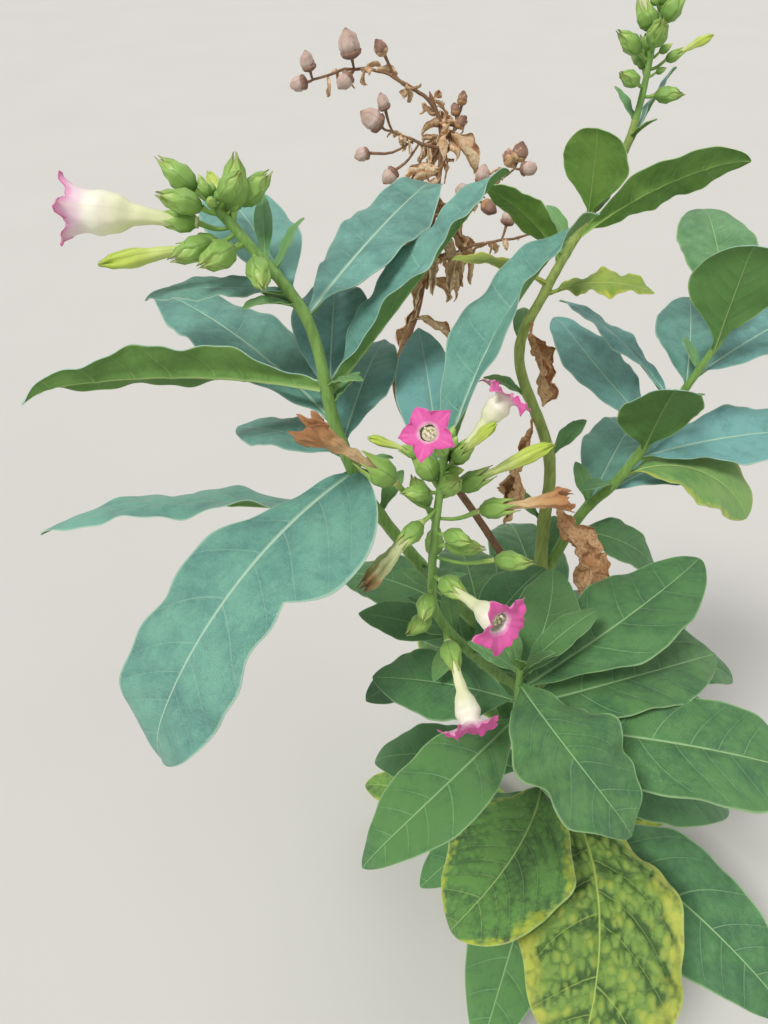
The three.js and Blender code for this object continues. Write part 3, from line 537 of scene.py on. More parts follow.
def leaf_skin(name, tone, shade, vein, kin, yellow="b3bb48", side_veins=0.35, ageing=-1.0, edging=0.0,
              patchy=0.6, grooves=0.25, uneven=0.5, raised=1.0, rough=0.38):
    """The skin of a living leaf: a pale midrib, fainter side veins and net, green that differs from leaf to
    leaf and has painted shade in the grooves and painted light on the swellings, yellow from the margin and
    on the swellings, and brown spots on the yellow margin. Soft hairs dull its gloss."""
    material, make = started(name)
    uv = make("SeparateXYZ", make("UVMap", uv_map="blade"))
    number = make("Math", uv.outputs[0], operation="FLOOR")
    spread = make("Math", make("Math", uv.outputs[0], operation="FRACT"), 0.5, operation="SUBTRACT")
    away = make("Math", spread, operation="ABSOLUTE")
    hand = make("Math", spread, 0.0, operation="GREATER_THAN")
    slant = make("Math", away, VEIN_CURVE, VEIN_SLANT, operation="MULTIPLY_ADD")
    back = make("Math", slant, away, operation="MULTIPLY")
    foot = make("Math", uv.outputs[1], back, operation="SUBTRACT")
    row = make("Math", foot, VEIN_PAIRS, make("Math", hand, VEIN_STAGGER, operation="MULTIPLY"),
               operation="MULTIPLY_ADD")
    own = make("Math", hand, VEIN_STAGGER, number, operation="MULTIPLY_ADD")
    for size, rate, shift in VEIN_UNEVEN:
        angle = make("Math", own, shift, operation="MULTIPLY")
        angle = make("Math", foot, rate, angle, operation="MULTIPLY_ADD")
        row = make("Math", make("Math", angle, operation="SINE"), size, row, operation="MULTIPLY_ADD")
    off = make("Math", make("Math", row, operation="FRACT"), 0.5, operation="SUBTRACT")
    off = make("Math", off, operation="ABSOLUTE")
    edge = make("Attribute", attribute_name="edge").outputs["Fac"]
    quilt = make("Attribute", attribute_name="quilt").outputs["Fac"]
    width = make("MapRange", edge, 0.0, 1.0, VEIN_WIDTH, VEIN_WIDTH * 0.35)
    side = make("MapRange", off, 0.0, width, side_veins, 0.0, **SMOOTH)
    rib_width = make("Math", uv.outputs[1], -RIB_TAPER, RIB_WIDTH, operation="MULTIPLY_ADD")
    rib = make("MapRange", away, 0.0, rib_width, 1.0, 0.0, **SMOOTH)
    cells = make("VectorMath", make("UVMap", uv_map="blade"), (NET_CELLS,) * 3, operation="MULTIPLY")
    mesh = make("TexVoronoi", cells, feature="DISTANCE_TO_EDGE", voronoi_dimensions="2D")
    areoles = make("TexVoronoi", cells, voronoi_dimensions="2D").outputs["Color"]
    areole = make("SeparateXYZ", areoles).outputs[0]
    net = make("MapRange", mesh, 0.0, 0.1, side_veins * 0.45, 0.0, **SMOOTH)
    veins = make("Math", make("Math", rib, side, operation="MAXIMUM"), net, operation="MAXIMUM")

    place = make("TexCoord").outputs["Object"]
    broad = make("TexNoise", named={
        "Vector": place, "Scale": per_metre(LEAF_MOTTLE), "Detail": 6.0, "Roughness": 0.65})
    chance = make("TexWhiteNoise", named={"W": number}, noise_dimensions="1D").outputs[0]
    flecks = make("TexNoise", named={"Vector": place, "Scale": per_metre(LEAF_HAIRS), "Detail": 2.0})
    mottle_and_painted_shading = make("MapRange", broad.outputs["Fac"], 0.35, 0.65, 0.35 - uneven, 0.35 + uneven)
    for tilt, weight in ((chance, 0.6), (areole, 0.3)):
        tilt = make("Math", tilt, 0.5, operation="SUBTRACT")
        mottle_and_painted_shading = make("Math", tilt, weight, mottle_and_painted_shading, operation="MULTIPLY_ADD")
    # Painted light and shade: the grooves between swellings are drawn towards the darker shade colour and the
    # swellings towards the lighter tone.
    painted_relief_shading = make("MapRange", quilt, 0.15, 0.75, grooves, -grooves)
    mottle_and_painted_shading = make("Math", painted_relief_shading, mottle_and_painted_shading, operation="ADD", use_clamp=True)
    other = make("Math", number, 0.5, operation="ADD")
    other = make("TexWhiteNoise", named={"W": other}, noise_dimensions="1D")
    base = make("Mix", other.outputs[0], colour(tone), colour(kin), **BLEND)
    base = make("Mix", mottle_and_painted_shading, base, colour(shade), **BLEND)
    if ageing > -1:
        patches = make("TexNoise", named={
            "Vector": place, "Scale": per_metre(YELLOW_PATCHES), "Detail": 3.0, "Roughness": 0.5})
        patches = make("MapRange", patches.outputs["Fac"], 0.35, 0.65, -patchy, patchy)
        swollen = make("MapRange", quilt, 0.2, 0.9, -patchy, patchy)
        rim = make("MapRange", edge, 0.55, 1.0, 0.0, edging, **SMOOTH)
        old = make("Math", make("Math", patches, swollen, operation="ADD"), rim, operation="ADD")
        old = make("Math", old, ageing, operation="ADD", use_clamp=True)
        base = make("Mix", old, base, colour(yellow), **BLEND)
        burnt = make("TexNoise", named={"Vector": place, "Scale": per_metre(BURNT_SPOTS), "Detail": 4.0})
        burnt = make("MapRange", burnt.outputs["Fac"], 0.56, 0.62, 0.0, 1.0)
        outer = make("MapRange", edge, 0.93, 0.99, 0.0, 0.9, **SMOOTH)
        burnt = make("Math", burnt, outer, operation="MULTIPLY")
        base = make("Mix", burnt, base, colour(BURNT), **BLEND)
    margin = make("MapRange", edge, 0.955, 0.99, 0.0, 0.75)
    for pale in (veins, margin):
        base = make("Mix", pale, base, colour(vein), **BLEND)

    arched = make("MapRange", mesh, 0.0, 0.4, 0.0, 0.6, **SMOOTH)
    relief = make("Math", flecks.outputs["Fac"], 0.7, arched, operation="MULTIPLY_ADD")
    relief = make("Math", veins, -raised, relief, operation="MULTIPLY_ADD")
    closed(make, base, relief, rough, bump=0.5, distance=0.0007, sheen=0.05)
    return material


WANDER = 0.25  # how far the old skin's upper end wanders, in metres


def stem_skin(name, green, streak, old, bottom, top):
    """The skin of a herb's stem: long streaks and dots, and corky where it is old, near the ground. Bottom
    and top are the heights, in metres, between which the old skin turns green."""
    material, make = started(name)
    place = make("TexCoord").outputs["Object"]
    long = make("VectorMath", place, tuple(map(per_metre, STEM_STREAKS)), operation="MULTIPLY")
    streaks = make("TexNoise", named={"Vector": long, "Scale": 1.0, "Detail": 4.0})
    streaks = make("MapRange", streaks.outputs["Fac"], 0.4, 0.62, 0.0, 1.0)
    base = make("Mix", streaks, colour(green), colour(streak), **BLEND)
    height = make("SeparateXYZ", place).outputs[2]
    broad = make("TexNoise", named={"Vector": place, "Scale": per_metre(STEM_AGE), "Detail": 4.0})
    wander = make("Math", broad.outputs["Fac"], WANDER, height, operation="MULTIPLY_ADD")
    age = make("MapRange", wander, bottom + WANDER / 2, top + WANDER / 2, 1.0, 0.0, **SMOOTH)
    base = make("Mix", age, base, colour(old), **BLEND)
    grit = make("TexNoise", named={"Vector": place, "Scale": per_metre(STEM_GRIT), "Detail": 3.0})
    dots = make("MapRange", grit.outputs["Fac"], 0.55, 0.75, 0.0, 0.35)
    base = make("Mix", dots, base, colour(streak), **BLEND)
    relief = make("Math", streaks, 0.6, grit.outputs["Fac"], operation="MULTIPLY_ADD")
    closed(make, base, relief, 0.6, bump=0.5, distance=0.0005, sheen=0.1)
    return material


def ringed_skin(name, stops, vein, veins=0.3, rough=0.5, speckle=0.25):
    """The skin of a petal, calyx or capsule: its colour changes from foot to rim, with five veins and
    mottling. Stops are (share of the way to the rim, colour)."""
    material, make = started(name)
    uv = make("SeparateXYZ", make("UVMap", uv_map="blade"))
    base = make("RGB")
    base.outputs[0].default_value = colour(stops[0][1])
    for (low, _), (high, tint) in zip(stops, stops[1:]):
        share = make("MapRange", uv.outputs[1], low, high, 0.0, 1.0, **SMOOTH)
        base = make("Mix", share, base, colour(tint), **BLEND)
    turns = make("Math", make("Math", uv.outputs[0], LOBES, operation="MULTIPLY"), operation="FRACT")
    off = make("Math", make("Math", turns, 0.5, operation="SUBTRACT"), operation="ABSOLUTE")
    line = make("MapRange", off, 0.5, 0.42, veins, 0.0, **SMOOTH)
    base = make("Mix", line, base, colour(vein), **BLEND)
    place = make("TexCoord").outputs["Object"]
    grain = make("TexNoise", named={"Vector": place, "Scale": per_metre(PETAL_GRAIN), "Detail": 4.0})
    spots = make("MapRange", grain.outputs["Fac"], 0.5, 0.75, 0.0, speckle)
    base = make("Mix", spots, base, colour(vein), **BLEND)
    relief = make("Math", line, -0.6, grain.outputs["Fac"], operation="MULTIPLY_ADD")
    closed(make, base, relief, rough, bump=0.3, distance=0.0004, sheen=0.1)
    return material


def dry_skin(name, pale, dark, blotch):
    """Dead plant tissue: like brown paper, with dark blotches, fine spots and a dusty, rough face."""
    material, make = started(name)
    place = make("TexCoord").outputs["Object"]
    broad = make("TexNoise", named={
        "Vector": place, "Scale": per_metre(DEAD_BLOTCHES), "Detail": 5.0, "Roughness": 0.65})
    fine = make("TexNoise", named={"Vector": place, "Scale": per_metre(DEAD_SPOTS), "Detail": 4.0})
    browned = make("MapRange", broad.outputs["Fac"], 0.35, 0.65, 0.0, 1.0)
    base = make("Mix", browned, colour(pale), colour(dark), **BLEND)
    spots = make("MapRange", fine.outputs["Fac"], 0.5, 0.7, 0.0, 0.7)
    base = make("Mix", spots, base, colour(blotch), **BLEND)
    relief = make("Math", broad.outputs["Fac"], 1.5, fine.outputs["Fac"], operation="MULTIPLY_ADD")
    closed(make, base, relief, 0.8, bump=0.6, distance=0.0008, sheen=0.05)
    return material


leaf_back = partial(leaf_skin, raised=-1.0, rough=0.6)  # veins stand out of it

# The looks of a leaf: its slot, the skin of its face and that of its back.

LOOKS = {
    "fresh": ("upper_leaf",
              leaf_skin("leaf_face_bluegreen", "78b5b0", "558c80", "b9d8bd", "76b29b",
                        side_veins=0.32, uneven=0.4),
              leaf_back("leaf_back_olive", "6d9843", "507a2b", "aeca7a", "5d8f45")),
    "deep": ("lower_leaf",
             leaf_skin("leaf_face_deep_green", "508a52", "396c42", "a3c88c", "5f914c",
                       side_veins=0.5, uneven=0.42, grooves=0.3),
             leaf_back("leaf_back_grey_green", "6c9759", "4f7744", "b1cb92", "5f9350")),
    "edged": ("lower_leaf",
              leaf_skin("leaf_face_yellow_margin", "5f9347", "355f2d", "b2ce80", "729f3f", "b7c43f",
                        side_veins=0.5, uneven=0.6, grooves=0.4, edging=1.6, ageing=-0.92, patchy=0.45),
              leaf_back("leaf_back_yellow_margin", "6f964d", "587c3e", "b2c98a", "6b9a48", "b4c156",
                        edging=1.2, ageing=-0.9, patchy=0.3)),
    "ageing": ("yellow_leaf",
               leaf_skin("leaf_face_yellowing", "7ea24a", "335a22", "b9cc66", "7f9f3f", "bfc44e",
                         side_veins=0.6, ageing=-0.12, edging=0.9, patchy=0.4, grooves=0.9),
               leaf_back("leaf_back_yellowing", "86a552", "557a34", "a8b95c", "7f9f48", "c2c058",
                         ageing=0.0, edging=0.6, patchy=0.35, grooves=0.5)),
    "pale": ("yellow_leaf",
             leaf_skin("leaf_face_pale_green", "86b665", "5f9a4c", "c8dd8c", "93b85c", "ccd04f",
                       ageing=-0.72, edging=1.4, patchy=0.35),
             leaf_back("leaf_back_pale_green", "93b257", "80a24a", "c4d37c", "8fb052", "c9c85a",
                       ageing=-0.6, edging=0.9, patchy=0.35)),
    "young": ("upper_leaf",
              leaf_skin("leaf_face_young", "79b074", "568b54", "afd288", "83b263", side_veins=0.4),
              leaf_back("leaf_back_young", "73a244", "538230", "b0cd6e", "7fa83e")),
    "yellow": ("yellow_leaf",
               leaf_skin("leaf_face_yellow_green", "b3c24b", "86a740", "d9e083", "a3b944", "dcd650",
                         ageing=-0.45, edging=1.1, patchy=0.35, rough=0.5),
               leaf_back("leaf_back_yellow_green", "b6c352", "93ae48", "d6dc84", "aabd4c", "d9d455",
                         ageing=-0.4, edging=0.9, patchy=0.35)),
    "dry": ("dry_leaf",
            dry_skin("leaf_dead_tan", "eec79c", "c4925f", "8a5833"),
            dry_skin("leaf_dead_brown", "dbab79", "ad7a4f", "78492d")),
}
STEM_SKINS = {
    "main_stem": ("woody_stem", stem_skin("stem_skin_old", "9db05b", "86994b", "8f7f5f", 0.03, 0.42)),
    "dry_stem": ("dry_stem", dry_skin("stem_skin_dead", "9a7455", "7d5b42", "5a3f2c")),
}
GREEN_STEM = ("green_stem", stem_skin("stem_skin_green", "85ad55", "6f9647", "95985f", 0.08, 0.36))
CALYX_SKIN = ringed_skin(
    "calyx_skin_green", [(0.0, "6f9440"), (0.45, "83aa4d"), (0.8, "92b858"), (1.0, "a9bd62")], "5f8538",
    veins=0.75, rough=0.55)
CAPSULE_SKIN = ringed_skin(
    "capsule_skin_green", [(0.0, "8fb457"), (0.6, "a2c163"), (1.0, "b4c76e")], "86a955", rough=0.42)
PETAL_FACE = ringed_skin(
    "petal_face_pink", [(0.0, "e3ebb8"), (0.6, "f2f4dc"), (0.75, "fbf3f1"), (0.785, "efa3cb"),
                        (0.82, "e364aa"), (1.0, "dd519f")], "d0418f", speckle=0.15)
PETAL_BACK = ringed_skin(
    "petal_back_cream", [(0.0, "d3dd98"), (0.45, "e7e7b8"), (0.72, "f3efda"), (0.81, "f2d3dd"),
                         (0.9, "ea9dc5"), (1.0, "e16cac")], "dfdcb4", speckle=0.12)
BUD_SKIN = ringed_skin(
    "bud_skin_yellow_green", [(0.0, "b4cb74"), (0.45, "d0dc80"), (0.8, "bfd056"), (1.0, "b4ca42")], "8dab48",
    veins=0.7, speckle=0.15)
FADING_SKIN = ringed_skin(
    "petal_fading", [(0.0, "c3d088"), (0.55, "dadfa6"), (0.8, "d2cc92"), (0.9, "b5905f"), (1.0, "93653f")],
    "9fae66", veins=0.55, rough=0.65, speckle=0.3)
WITHERED_SKIN = ringed_skin(
    "petal_withered", [(0.0, "dccb98"), (0.5, "d3b383"), (0.85, "c08f5c"), (1.0, "b07a4e")], "8a5e3e",
    veins=0.5, rough=0.75, speckle=0.45)
ANTHER_SKIN = dry_skin("anther_cream", "f7f2da", "eee5bf", "d8cc98")
HUSK_SKIN = ringed_skin(
    "capsule_husk_pale", [(0.0, "b08f7c"), (0.5, "d3b9ac"), (0.9, "c6a999"), (1.0, "94735f")], "8f6f5e",
    veins=0.4, rough=0.8, speckle=0.5)
HUSK_DARK_SKIN = ringed_skin(
    "capsule_husk_brown", [(0.0, "7d5745"), (0.6, "a17c69"), (1.0, "765344")], "5c3f30", veins=0.5, rough=0.8,
    speckle=0.5)
FLOWER_SKINS = [CALYX_SKIN, CAPSULE_SKIN, PETAL_FACE, PETAL_BACK, BUD_SKIN, FADING_SKIN, WITHERED_SKIN,
                ANTHER_SKIN, GREEN_STEM[1]]
CALYX, CAPSULE, FACE, BACK, BUD, FADING, WITHERED, ANTHER, AXIS = range(len(FLOWER_SKINS))


# Leaves

# Sizes in a leaf that are shares of its length unless they say otherwise.

SKIN = 0.45  # millimetres between its two sides where there is no vein
SMALL_LEAF = 110  # millimetres: a shorter leaf has lower waves, veins and bubbles
COLUMN = 6.5  # millimetres between the grid's lines
ROW = 2.5
LEAF_STALK = 2.2  # half width at the foot, in millimetres
LEAF_TIP = 0.4  # and at the tip
EAR_REACH = 0.22  # an ear is widest here
CHANNEL = 0.14  # a leaf's foot is a channel up to here
CHANNEL_FOLD = 38  # degrees by which it lifts both halves more
HOOK_START = 0.84  # past this the tip droops
HOOK = (-32, 5)  # by degrees between these
TWIST = 9  # degrees at most, half way along
WAVE_COUNTS = (2.4, 3.6)  # fewest and most waves on a margin
WAVE_SIZE = 0.017
RIPPLE_SIZE = 0.005  # finer waves on the waves
HEAVE = 0.03  # broad, uneven swelling of a half
PUCKER_SIZE = 0.0055  # swelling between two side veins, up to
PUCKER_MOST = 1.1  # millimetres
BUBBLE = 0.036  # distance from one bubble between the finer veins to the next
BUBBLE_STRETCH = (1.25, 0.85)  # and how much closer they lie across and along
RIB_SPREAD = 0.011  # half width of the midrib
RIB_SINK = 0.006  # it lies this deep in the face
RIB_KEEL = 0.013  # and stands this far out of the back
RIB_KEEL_LEAST = 0.6  # millimetres more
VEIN_KEEL = 0.45  # millimetres that a side vein stands out of the back
VEIN_SPREAD = 0.07  # of the distance between two
CRUMPLES = [(15, 7), (7, 4), (3, 1.2)]  # reach and size of a dead leaf's crumples, in millimetres


def half_width(row, share, side):
    """Half a leaf's width at a share of its length, on the right of its midrib or, below 0, on the left."""
    widest = row["widest"]
    even = min(max(share, 0) ** (math.log(0.5) / math.log(widest)), 1)
    outline = math.sin(math.pi * even) ** (row["hollow"] if share < widest else row["point"])
    if side < 0:
        outline = max(outline, row["ear"] * math.sqrt(max(0, 1 - (share / EAR_REACH - 1) ** 2)))
    return max(row["width"] / 2 * outline, LEAF_STALK if share < widest else LEAF_TIP)


leaf_numbers = itertools.count()


def blade(row, start, name, fineness=1.0, faces=(0, 1)):
    """One leaf: a flat grid with an upper and a lower side, each corner then moved to its place."""
    chance = random.Random(name)
    number = next(leaf_numbers)
    length, small = row["length"], min(1.0, row["length"] / SMALL_LEAF)
    phase = {-1: chance.random(), 1: chance.random()}
    waves = {-1: chance.uniform(*WAVE_COUNTS), 1: chance.uniform(*WAVE_COUNTS)}
    seed = chance.uniform(0, 50)
    twist = chance.uniform(-TWIST, TWIST)
    hook = chance.uniform(*HOOK)
    columns = 2 * round((5 + row["width"] / COLUMN) * fineness)
    rows = round((16 + length / ROW) * fineness)

    def ahead_at(share):
        droop = hook * max(0, share - HOOK_START) / (1 - HOOK_START)
        return heading(row["azimuth"] + row["turn"] * share, row["rise"] + row["bend"] * share + droop)

    path = arc_path(start, length, ahead_at)
    bm = new_bmesh()
    bmesh.ops.create_grid(bm, x_segments=columns, y_segments=rows, size=1)
    for vert in bm.verts:
        x, y, _ = vert.co
        vert.co = (math.copysign(abs(x) ** 1.25, x), (y + 1) / 2, 0)
    made = bmesh.ops.extrude_face_region(bm, geom=bm.faces[:], use_keep_orig=True)
    for item in made["geom"]:
        if isinstance(item, bmesh.types.BMVert):
            item.co.z = 1
    bmesh.ops.recalc_face_normals(bm, faces=bm.faces[:])

    frames = {}

    def frame_at(share):
        key = round(share, 5)
        if key not in frames:
            ahead = ahead_at(share)
            roll = row["roll"] + twist * math.sin(math.pi * share)
            azimuth = row["azimuth"] + row["turn"] * share
            right = Quaternion(ahead, -math.radians(roll)) @ heading(azimuth - 90, 0)
            frames[key] = (path.at(share), right, right.cross(ahead))
        return frames[key]

    def ragged(share, hand):
        """How much wider than its plan a leaf is here: its margin wanders, and a dead one is torn."""
        wander = 0.08 * row["wave"] * small * noise.noise(Vector((share * 6, hand * 3 + seed, 0)))
        torn = 0.5 * row["crumple"] * noise.noise(Vector((share * length / 5, hand * 3 + seed, 9)))
        return 1 + (wander + torn) * math.sin(math.pi * share) ** 0.5

    def place(x, share, side):
        """The place of a corner, and how far it stands out of the vein net, from 0 to 1."""
        middle, right, up = frame_at(share)
        hand, edge = 1 if x > 0 else -1, abs(x)
        swell = math.sin(math.pi * share) ** 0.5
        half = half_width(row, share, x) * ragged(share, hand)
        spread = x * half / length
        fold = math.radians(row["fold"] + CHANNEL_FOLD * max(0, 1 - share / CHANNEL) ** 2)
        out, lift = x * half * math.cos(fold), half * (math.sin(fold) * edge - row["arch"] * x * x)
        if row["curl"]:
            turned = row["curl"] * x * (0.6 + 0.8 * share)
            out, lift = half * math.sin(turned) / row["curl"], half * (1 - math.cos(turned)) / row["curl"]
        wave = math.sin(2 * math.pi * (waves[hand] * share + phase[hand]))
        fine = math.sin(2 * math.pi * (2.7 * waves[hand] * share + 3 * phase[hand]))
        ripple = WAVE_SIZE * wave * edge ** 2.2 + RIPPLE_SIZE * fine * edge ** 4
        lift += row["wave"] * length * swell * ripple
        lift += length * HEAVE * noise.noise(Vector((share * 2.3, x * 1.1, seed))) * edge * swell
        line = vein_row(share, spread, number)
        between = abs(math.sin(math.pi * (line - 0.5))) ** 0.7
        beside = min(1, abs(spread) / 0.025) * (1 - edge ** 6) * swell
        lift += row["pucker"] * min(PUCKER_MOST, PUCKER_SIZE * length) * (between - 0.6) * beside
        closer, closer_along = BUBBLE_STRETCH
        cell = Vector((spread / BUBBLE * closer, share / BUBBLE * closer_along, seed))
        near = noise.voronoi(cell)[0]
        bubble = min(1, 1.6 * (near[1] - near[0]))
        lift += row["bubbles"] * small * (bubble - 0.4) * beside
        dent = noise.noise(Vector((share * length / 7, x * half / 7, seed)))
        lift += row["pucker"] * 0.3 * small * dent * beside
        rib = math.exp(-(spread / RIB_SPREAD) ** 2) * (1 - 0.8 * share)
        lift -= RIB_SINK * length * rib
        if side < 0.5:
            ridge = math.exp(-((line - math.floor(line) - 0.5) / VEIN_SPREAD) ** 2) * (1 - edge) * swell
            lift -= SKIN + (RIB_KEEL * length + RIB_KEEL_LEAST) * rib + VEIN_KEEL * small * ridge
        spot = middle + right * out + up * lift
        if row["crumple"]:
            for reach, size in CRUMPLES:
                push = noise.noise_vector(spot / reach + Vector((seed, 0, 0)))
                spot += push * size * row["crumple"] * swell
        return spot, 0.45 * between + 0.55 * bubble

    uv = bm.loops.layers.uv["blade"]
    edge_layer, quilt_layer = bm.verts.layers.float["edge"], bm.verts.layers.float["quilt"]
    for face in bm.faces:
        depth = face.calc_center_median().z
        face.smooth = True
        face.material_index = faces[1] if depth < 0.01 else faces[0]
        if 0.01 < depth < 0.99:
            for edge in face.edges:
                edge.smooth = False
        for loop in face.loops:
            x, share, _ = loop.vert.co
            loop[uv].uv = (number + 0.5 + x * half_width(row, share, x) / length, share)
    for vert in bm.verts:
        vert[edge_layer] = abs(vert.co.x)
        vert.co, vert[quilt_layer] = place(*vert.co)
    return bm


def leaf_foot(row, limb):
    """Where a leaf leaves its limb, a little inside its skin."""
    share = row["share"]
    ahead = PATHS[limb].ahead(share)
    outward = heading(row["azimuth"], 0)
    outward = (outward - ahead * outward.dot(ahead)).normalized()
    return PATHS[limb].at(share) + outward * (limb_radius(limb, share) - 1)


for prefix, (limb, rows) in LEAVES.items():
    for count, row in enumerate(rows, 1):
        node = f"{prefix}_leaf_{count}"
        slot_name, upper, under = LOOKS[row["look"]]
        fineness = 1.5 if row["bubbles"] > 0.5 else 1.0
        bm = blade(row, leaf_foot(row, limb), node, fineness)
        finished(f"{node}_blade", bm, [upper, under], slot_name, node)

for node, (limb, rows) in LEAF_GROUPS.items():
    slot_name = LOOKS[rows[0]["look"]][0]
    looks = sorted({row["look"] for row in rows})
    bm = new_bmesh()
    for count, row in enumerate(rows, 1):
        first = 2 * looks.index(row["look"])
        fineness = 1.6 if row["crumple"] else 1.0
        poured_in(bm, blade(row, leaf_foot(row, limb), f"{node}{count}", fineness, (first, first + 1)))
    skins = [skin for look in looks for skin in LOOKS[look][1:]]
    finished(f"{node}_blades", bm, skins, slot_name, node)

for limb, rows in SPROUTS.items():
    bm = new_bmesh()
    for count, (share, azimuth, rise, bend, length, width) in enumerate(rows):
        row = leaf(share, azimuth, rise, bend, length, width, fold=22)
        poured_in(bm, blade(row, leaf_foot(row, limb), f"{limb}{count}", fineness=0.6))
    finished(f"{limb}_young_leaves", bm, list(LOOKS["young"][1:]), "upper_leaf")


# Stems

NODE_SWELLING = 0.16  # share of the radius, where a leaf leaves a stem
NODE_REACH = 3.5  # millimetres up and down from there
OLD_NODES = range(4, 62, 4)  # per cent of the main stem where leaves stood before
FLARE_SIDES = 4  # low ribs where the roots start
FOOT_SWELLING = 0.55  # share of the radius, where a stem leaves another
FOOT_REACH = 11  # and over so many millimetres
RIDGES = 5
RIDGE_SIZE = 0.04  # share of the radius
BARK_SIZE = 0.05
ROUNDED_END = 6  # millimetres over which a tip closes


def stem(name, sides, rings, start=0.0, end=1.0, material=0):
    """A stem or a head's axis: tapered, ridged, and thicker where leaves leave it."""
    path, chance = PATHS[name], random.Random(name)
    groups = [*LEAVES.values(), *LEAF_GROUPS.values()]
    joints = [(row["share"], row["azimuth"]) for limb, rows in groups if limb == name for row in rows]
    joints += [(row[0], row[1]) for row in SPROUTS.get(name, [])]
    if name == "main_stem":
        joints += [(share / 100, chance.uniform(0, 360)) for share in OLD_NODES]
    seed = chance.uniform(0, 50)

    def radius_at(share, angle):
        height = share * path.length
        radius = limb_radius(name, share)
        if name == "main_stem":
            root = max(0, 1 - height / FLARE_HEIGHT)
            radius += FLARE_RADIUS * root ** 2 * (1 + 0.35 * math.cos(FLARE_SIDES * angle + 1))
        else:
            radius *= 1 + FOOT_SWELLING * math.exp(-(height / FOOT_REACH) ** 2)
        swell = 0.0
        for joint, azimuth in joints:
            near = math.exp(-((share - joint) * path.length / NODE_REACH) ** 2)
            if near > 0.01:
                facing = 0.5 + 0.5 * math.cos(angle - math.radians(azimuth))
                swell = max(swell, near * (0.35 + 0.65 * facing ** 2))
        ridge = RIDGE_SIZE * math.cos(RIDGES * angle + 5 * share)
        around = Vector((math.cos(angle) * 2, math.sin(angle) * 2, height / 9 + seed))
        bark = BARK_SIZE * noise.noise(around)
        closing = max(0, 1 - (1 - share) * path.length / ROUNDED_END) if end == 1 else 0
        return radius * (1 + NODE_SWELLING * swell + ridge + bark) * math.sqrt(1.02 - closing ** 2)

    place = tube_place(path, radius_at, start, end)

    def rooted(angle, share, side):
        spot = place(angle, share, side)
        if name == "main_stem" and start == 0:
            flat = max(0, 1 - share / 0.06)
            spot.z += (path.at(share).z - spot.z) * flat
        return spot
    return sleeve(sides, rings, rooted, material=material, uv_length=path.length / 40)


for limb, details in LIMBS.items():
    slot_name, skin = STEM_SKINS.get(limb, GREEN_STEM)
    sides = 28 if limb == "main_stem" else 18
    rings = round(PATHS[limb].length * details["share"] / 3)
    finished(f"{limb}_skin", stem(limb, sides, rings, 0, details["share"]), [skin], slot_name, limb)


# Flowers, pods and buds

def smooth_through(stops, share):
    """A smooth value through stops of (share, value)."""
    for (low, a), (high, b) in zip(stops, stops[1:]):
        if share <= high:
            part = (share - low) / (high - low)
            return a + (b - a) * part * part * (3 - 2 * part)
    return stops[-1][1]


def lobe_number(angle):
    return int((angle / (2 * math.pi) * LOBES) % LOBES)


def lobe_share(angle):
    """0 in the middle of a lobe or tooth, 1 in the notch between two."""
    turn = (angle * LOBES / (2 * math.pi)) % 1
    return abs(turn - 0.5) * 2


def turned_place(start, direction, radius_at, height_at, bend=0.0, squash=0.0, seed=0.0):
    """Places a ring of points round a line that may bend down."""
    across = direction.cross(Vector((0, 0, 1)))
    across = across.normalized() if across.length > 0.05 else Vector((1, 0, 0))
    other = direction.cross(across)

    def place(angle, share, side):
        radius, height = radius_at(angle, share, side), height_at(angle, share, side)
        out = across * math.cos(angle) + other * math.sin(angle)
        spot = start + direction * height + out * radius - Vector((0, 0, 1)) * bend * height ** 2
        if squash:
            spot += noise.noise_vector(spot / 5 + Vector((seed, 0, 0))) * squash * min(1, share * 2)
        return spot
    return place


CALYX_WALL = 0.45
CUP = 0.45  # share of a calyx's length below its teeth


def calyx(start, direction, size, mouth, seed, material=CALYX, shortening=1.0):
    """A green cup of five ribs and five pointed teeth. Mouth is how far the teeth's tips stay apart."""
    length, wide = CALYX_LENGTH * size * shortening, CALYX_RADIUS * size
    body = [(0, 0.02), (0.08, 0.48), (0.25, 0.88), (0.5, 1.0), (0.72, 0.86), (1.0, mouth)]
    uneven = random.Random(seed)
    lengths = [uneven.uniform(0.92, 1.08) for _ in range(LOBES)]
    swing = [uneven.uniform(-0.05, 0.08) for _ in range(LOBES)]

    def radius_at(angle, share, side):
        rib = 1 + 0.07 * math.cos(LOBES * angle) * math.sin(math.pi * share)
        lean = swing[lobe_number(angle)] * max(0, share - 0.72) * 3 * (1 - lobe_share(angle))
        inset = 0 if side else CALYX_WALL * min(1, share * 8)
        return wide * (smooth_through(body, share) * rib + lean) - inset

    def height_at(angle, share, side):
        low = CUP * length * min(share / 0.5, 1)
        top = length * (lengths[lobe_number(angle)] - 0.4 * lobe_share(angle) ** 0.62)
        return low + (top - CUP * length) * max(0, share - 0.5) / 0.5 + (0 if side else 0.35)
    sides, rings = (40, 13) if size > 0.6 and shortening > 0.7 else (30, 8)
    place = turned_place(start, direction, radius_at, height_at)
    return sleeve(sides, rings, place, walled=True, material=material)


def ovoid(start, direction, wide, length, material, stops, seed=0.0, squash=0.0, sides=16, rings=12):
    """A closed round body with the profile of its stops."""
    def radius_at(angle, share, side):
        return wide * smooth_through(stops, share) * (1 + 0.03 * math.cos(2 * angle))

    def height_at(angle, share, side):
        return length * share
    place = turned_place(start, direction, radius_at, height_at, squash=squash, seed=seed)
    return sleeve(sides, rings, place, material=material)


# Profiles from foot to tip: (share of the length, share of the widest radius).

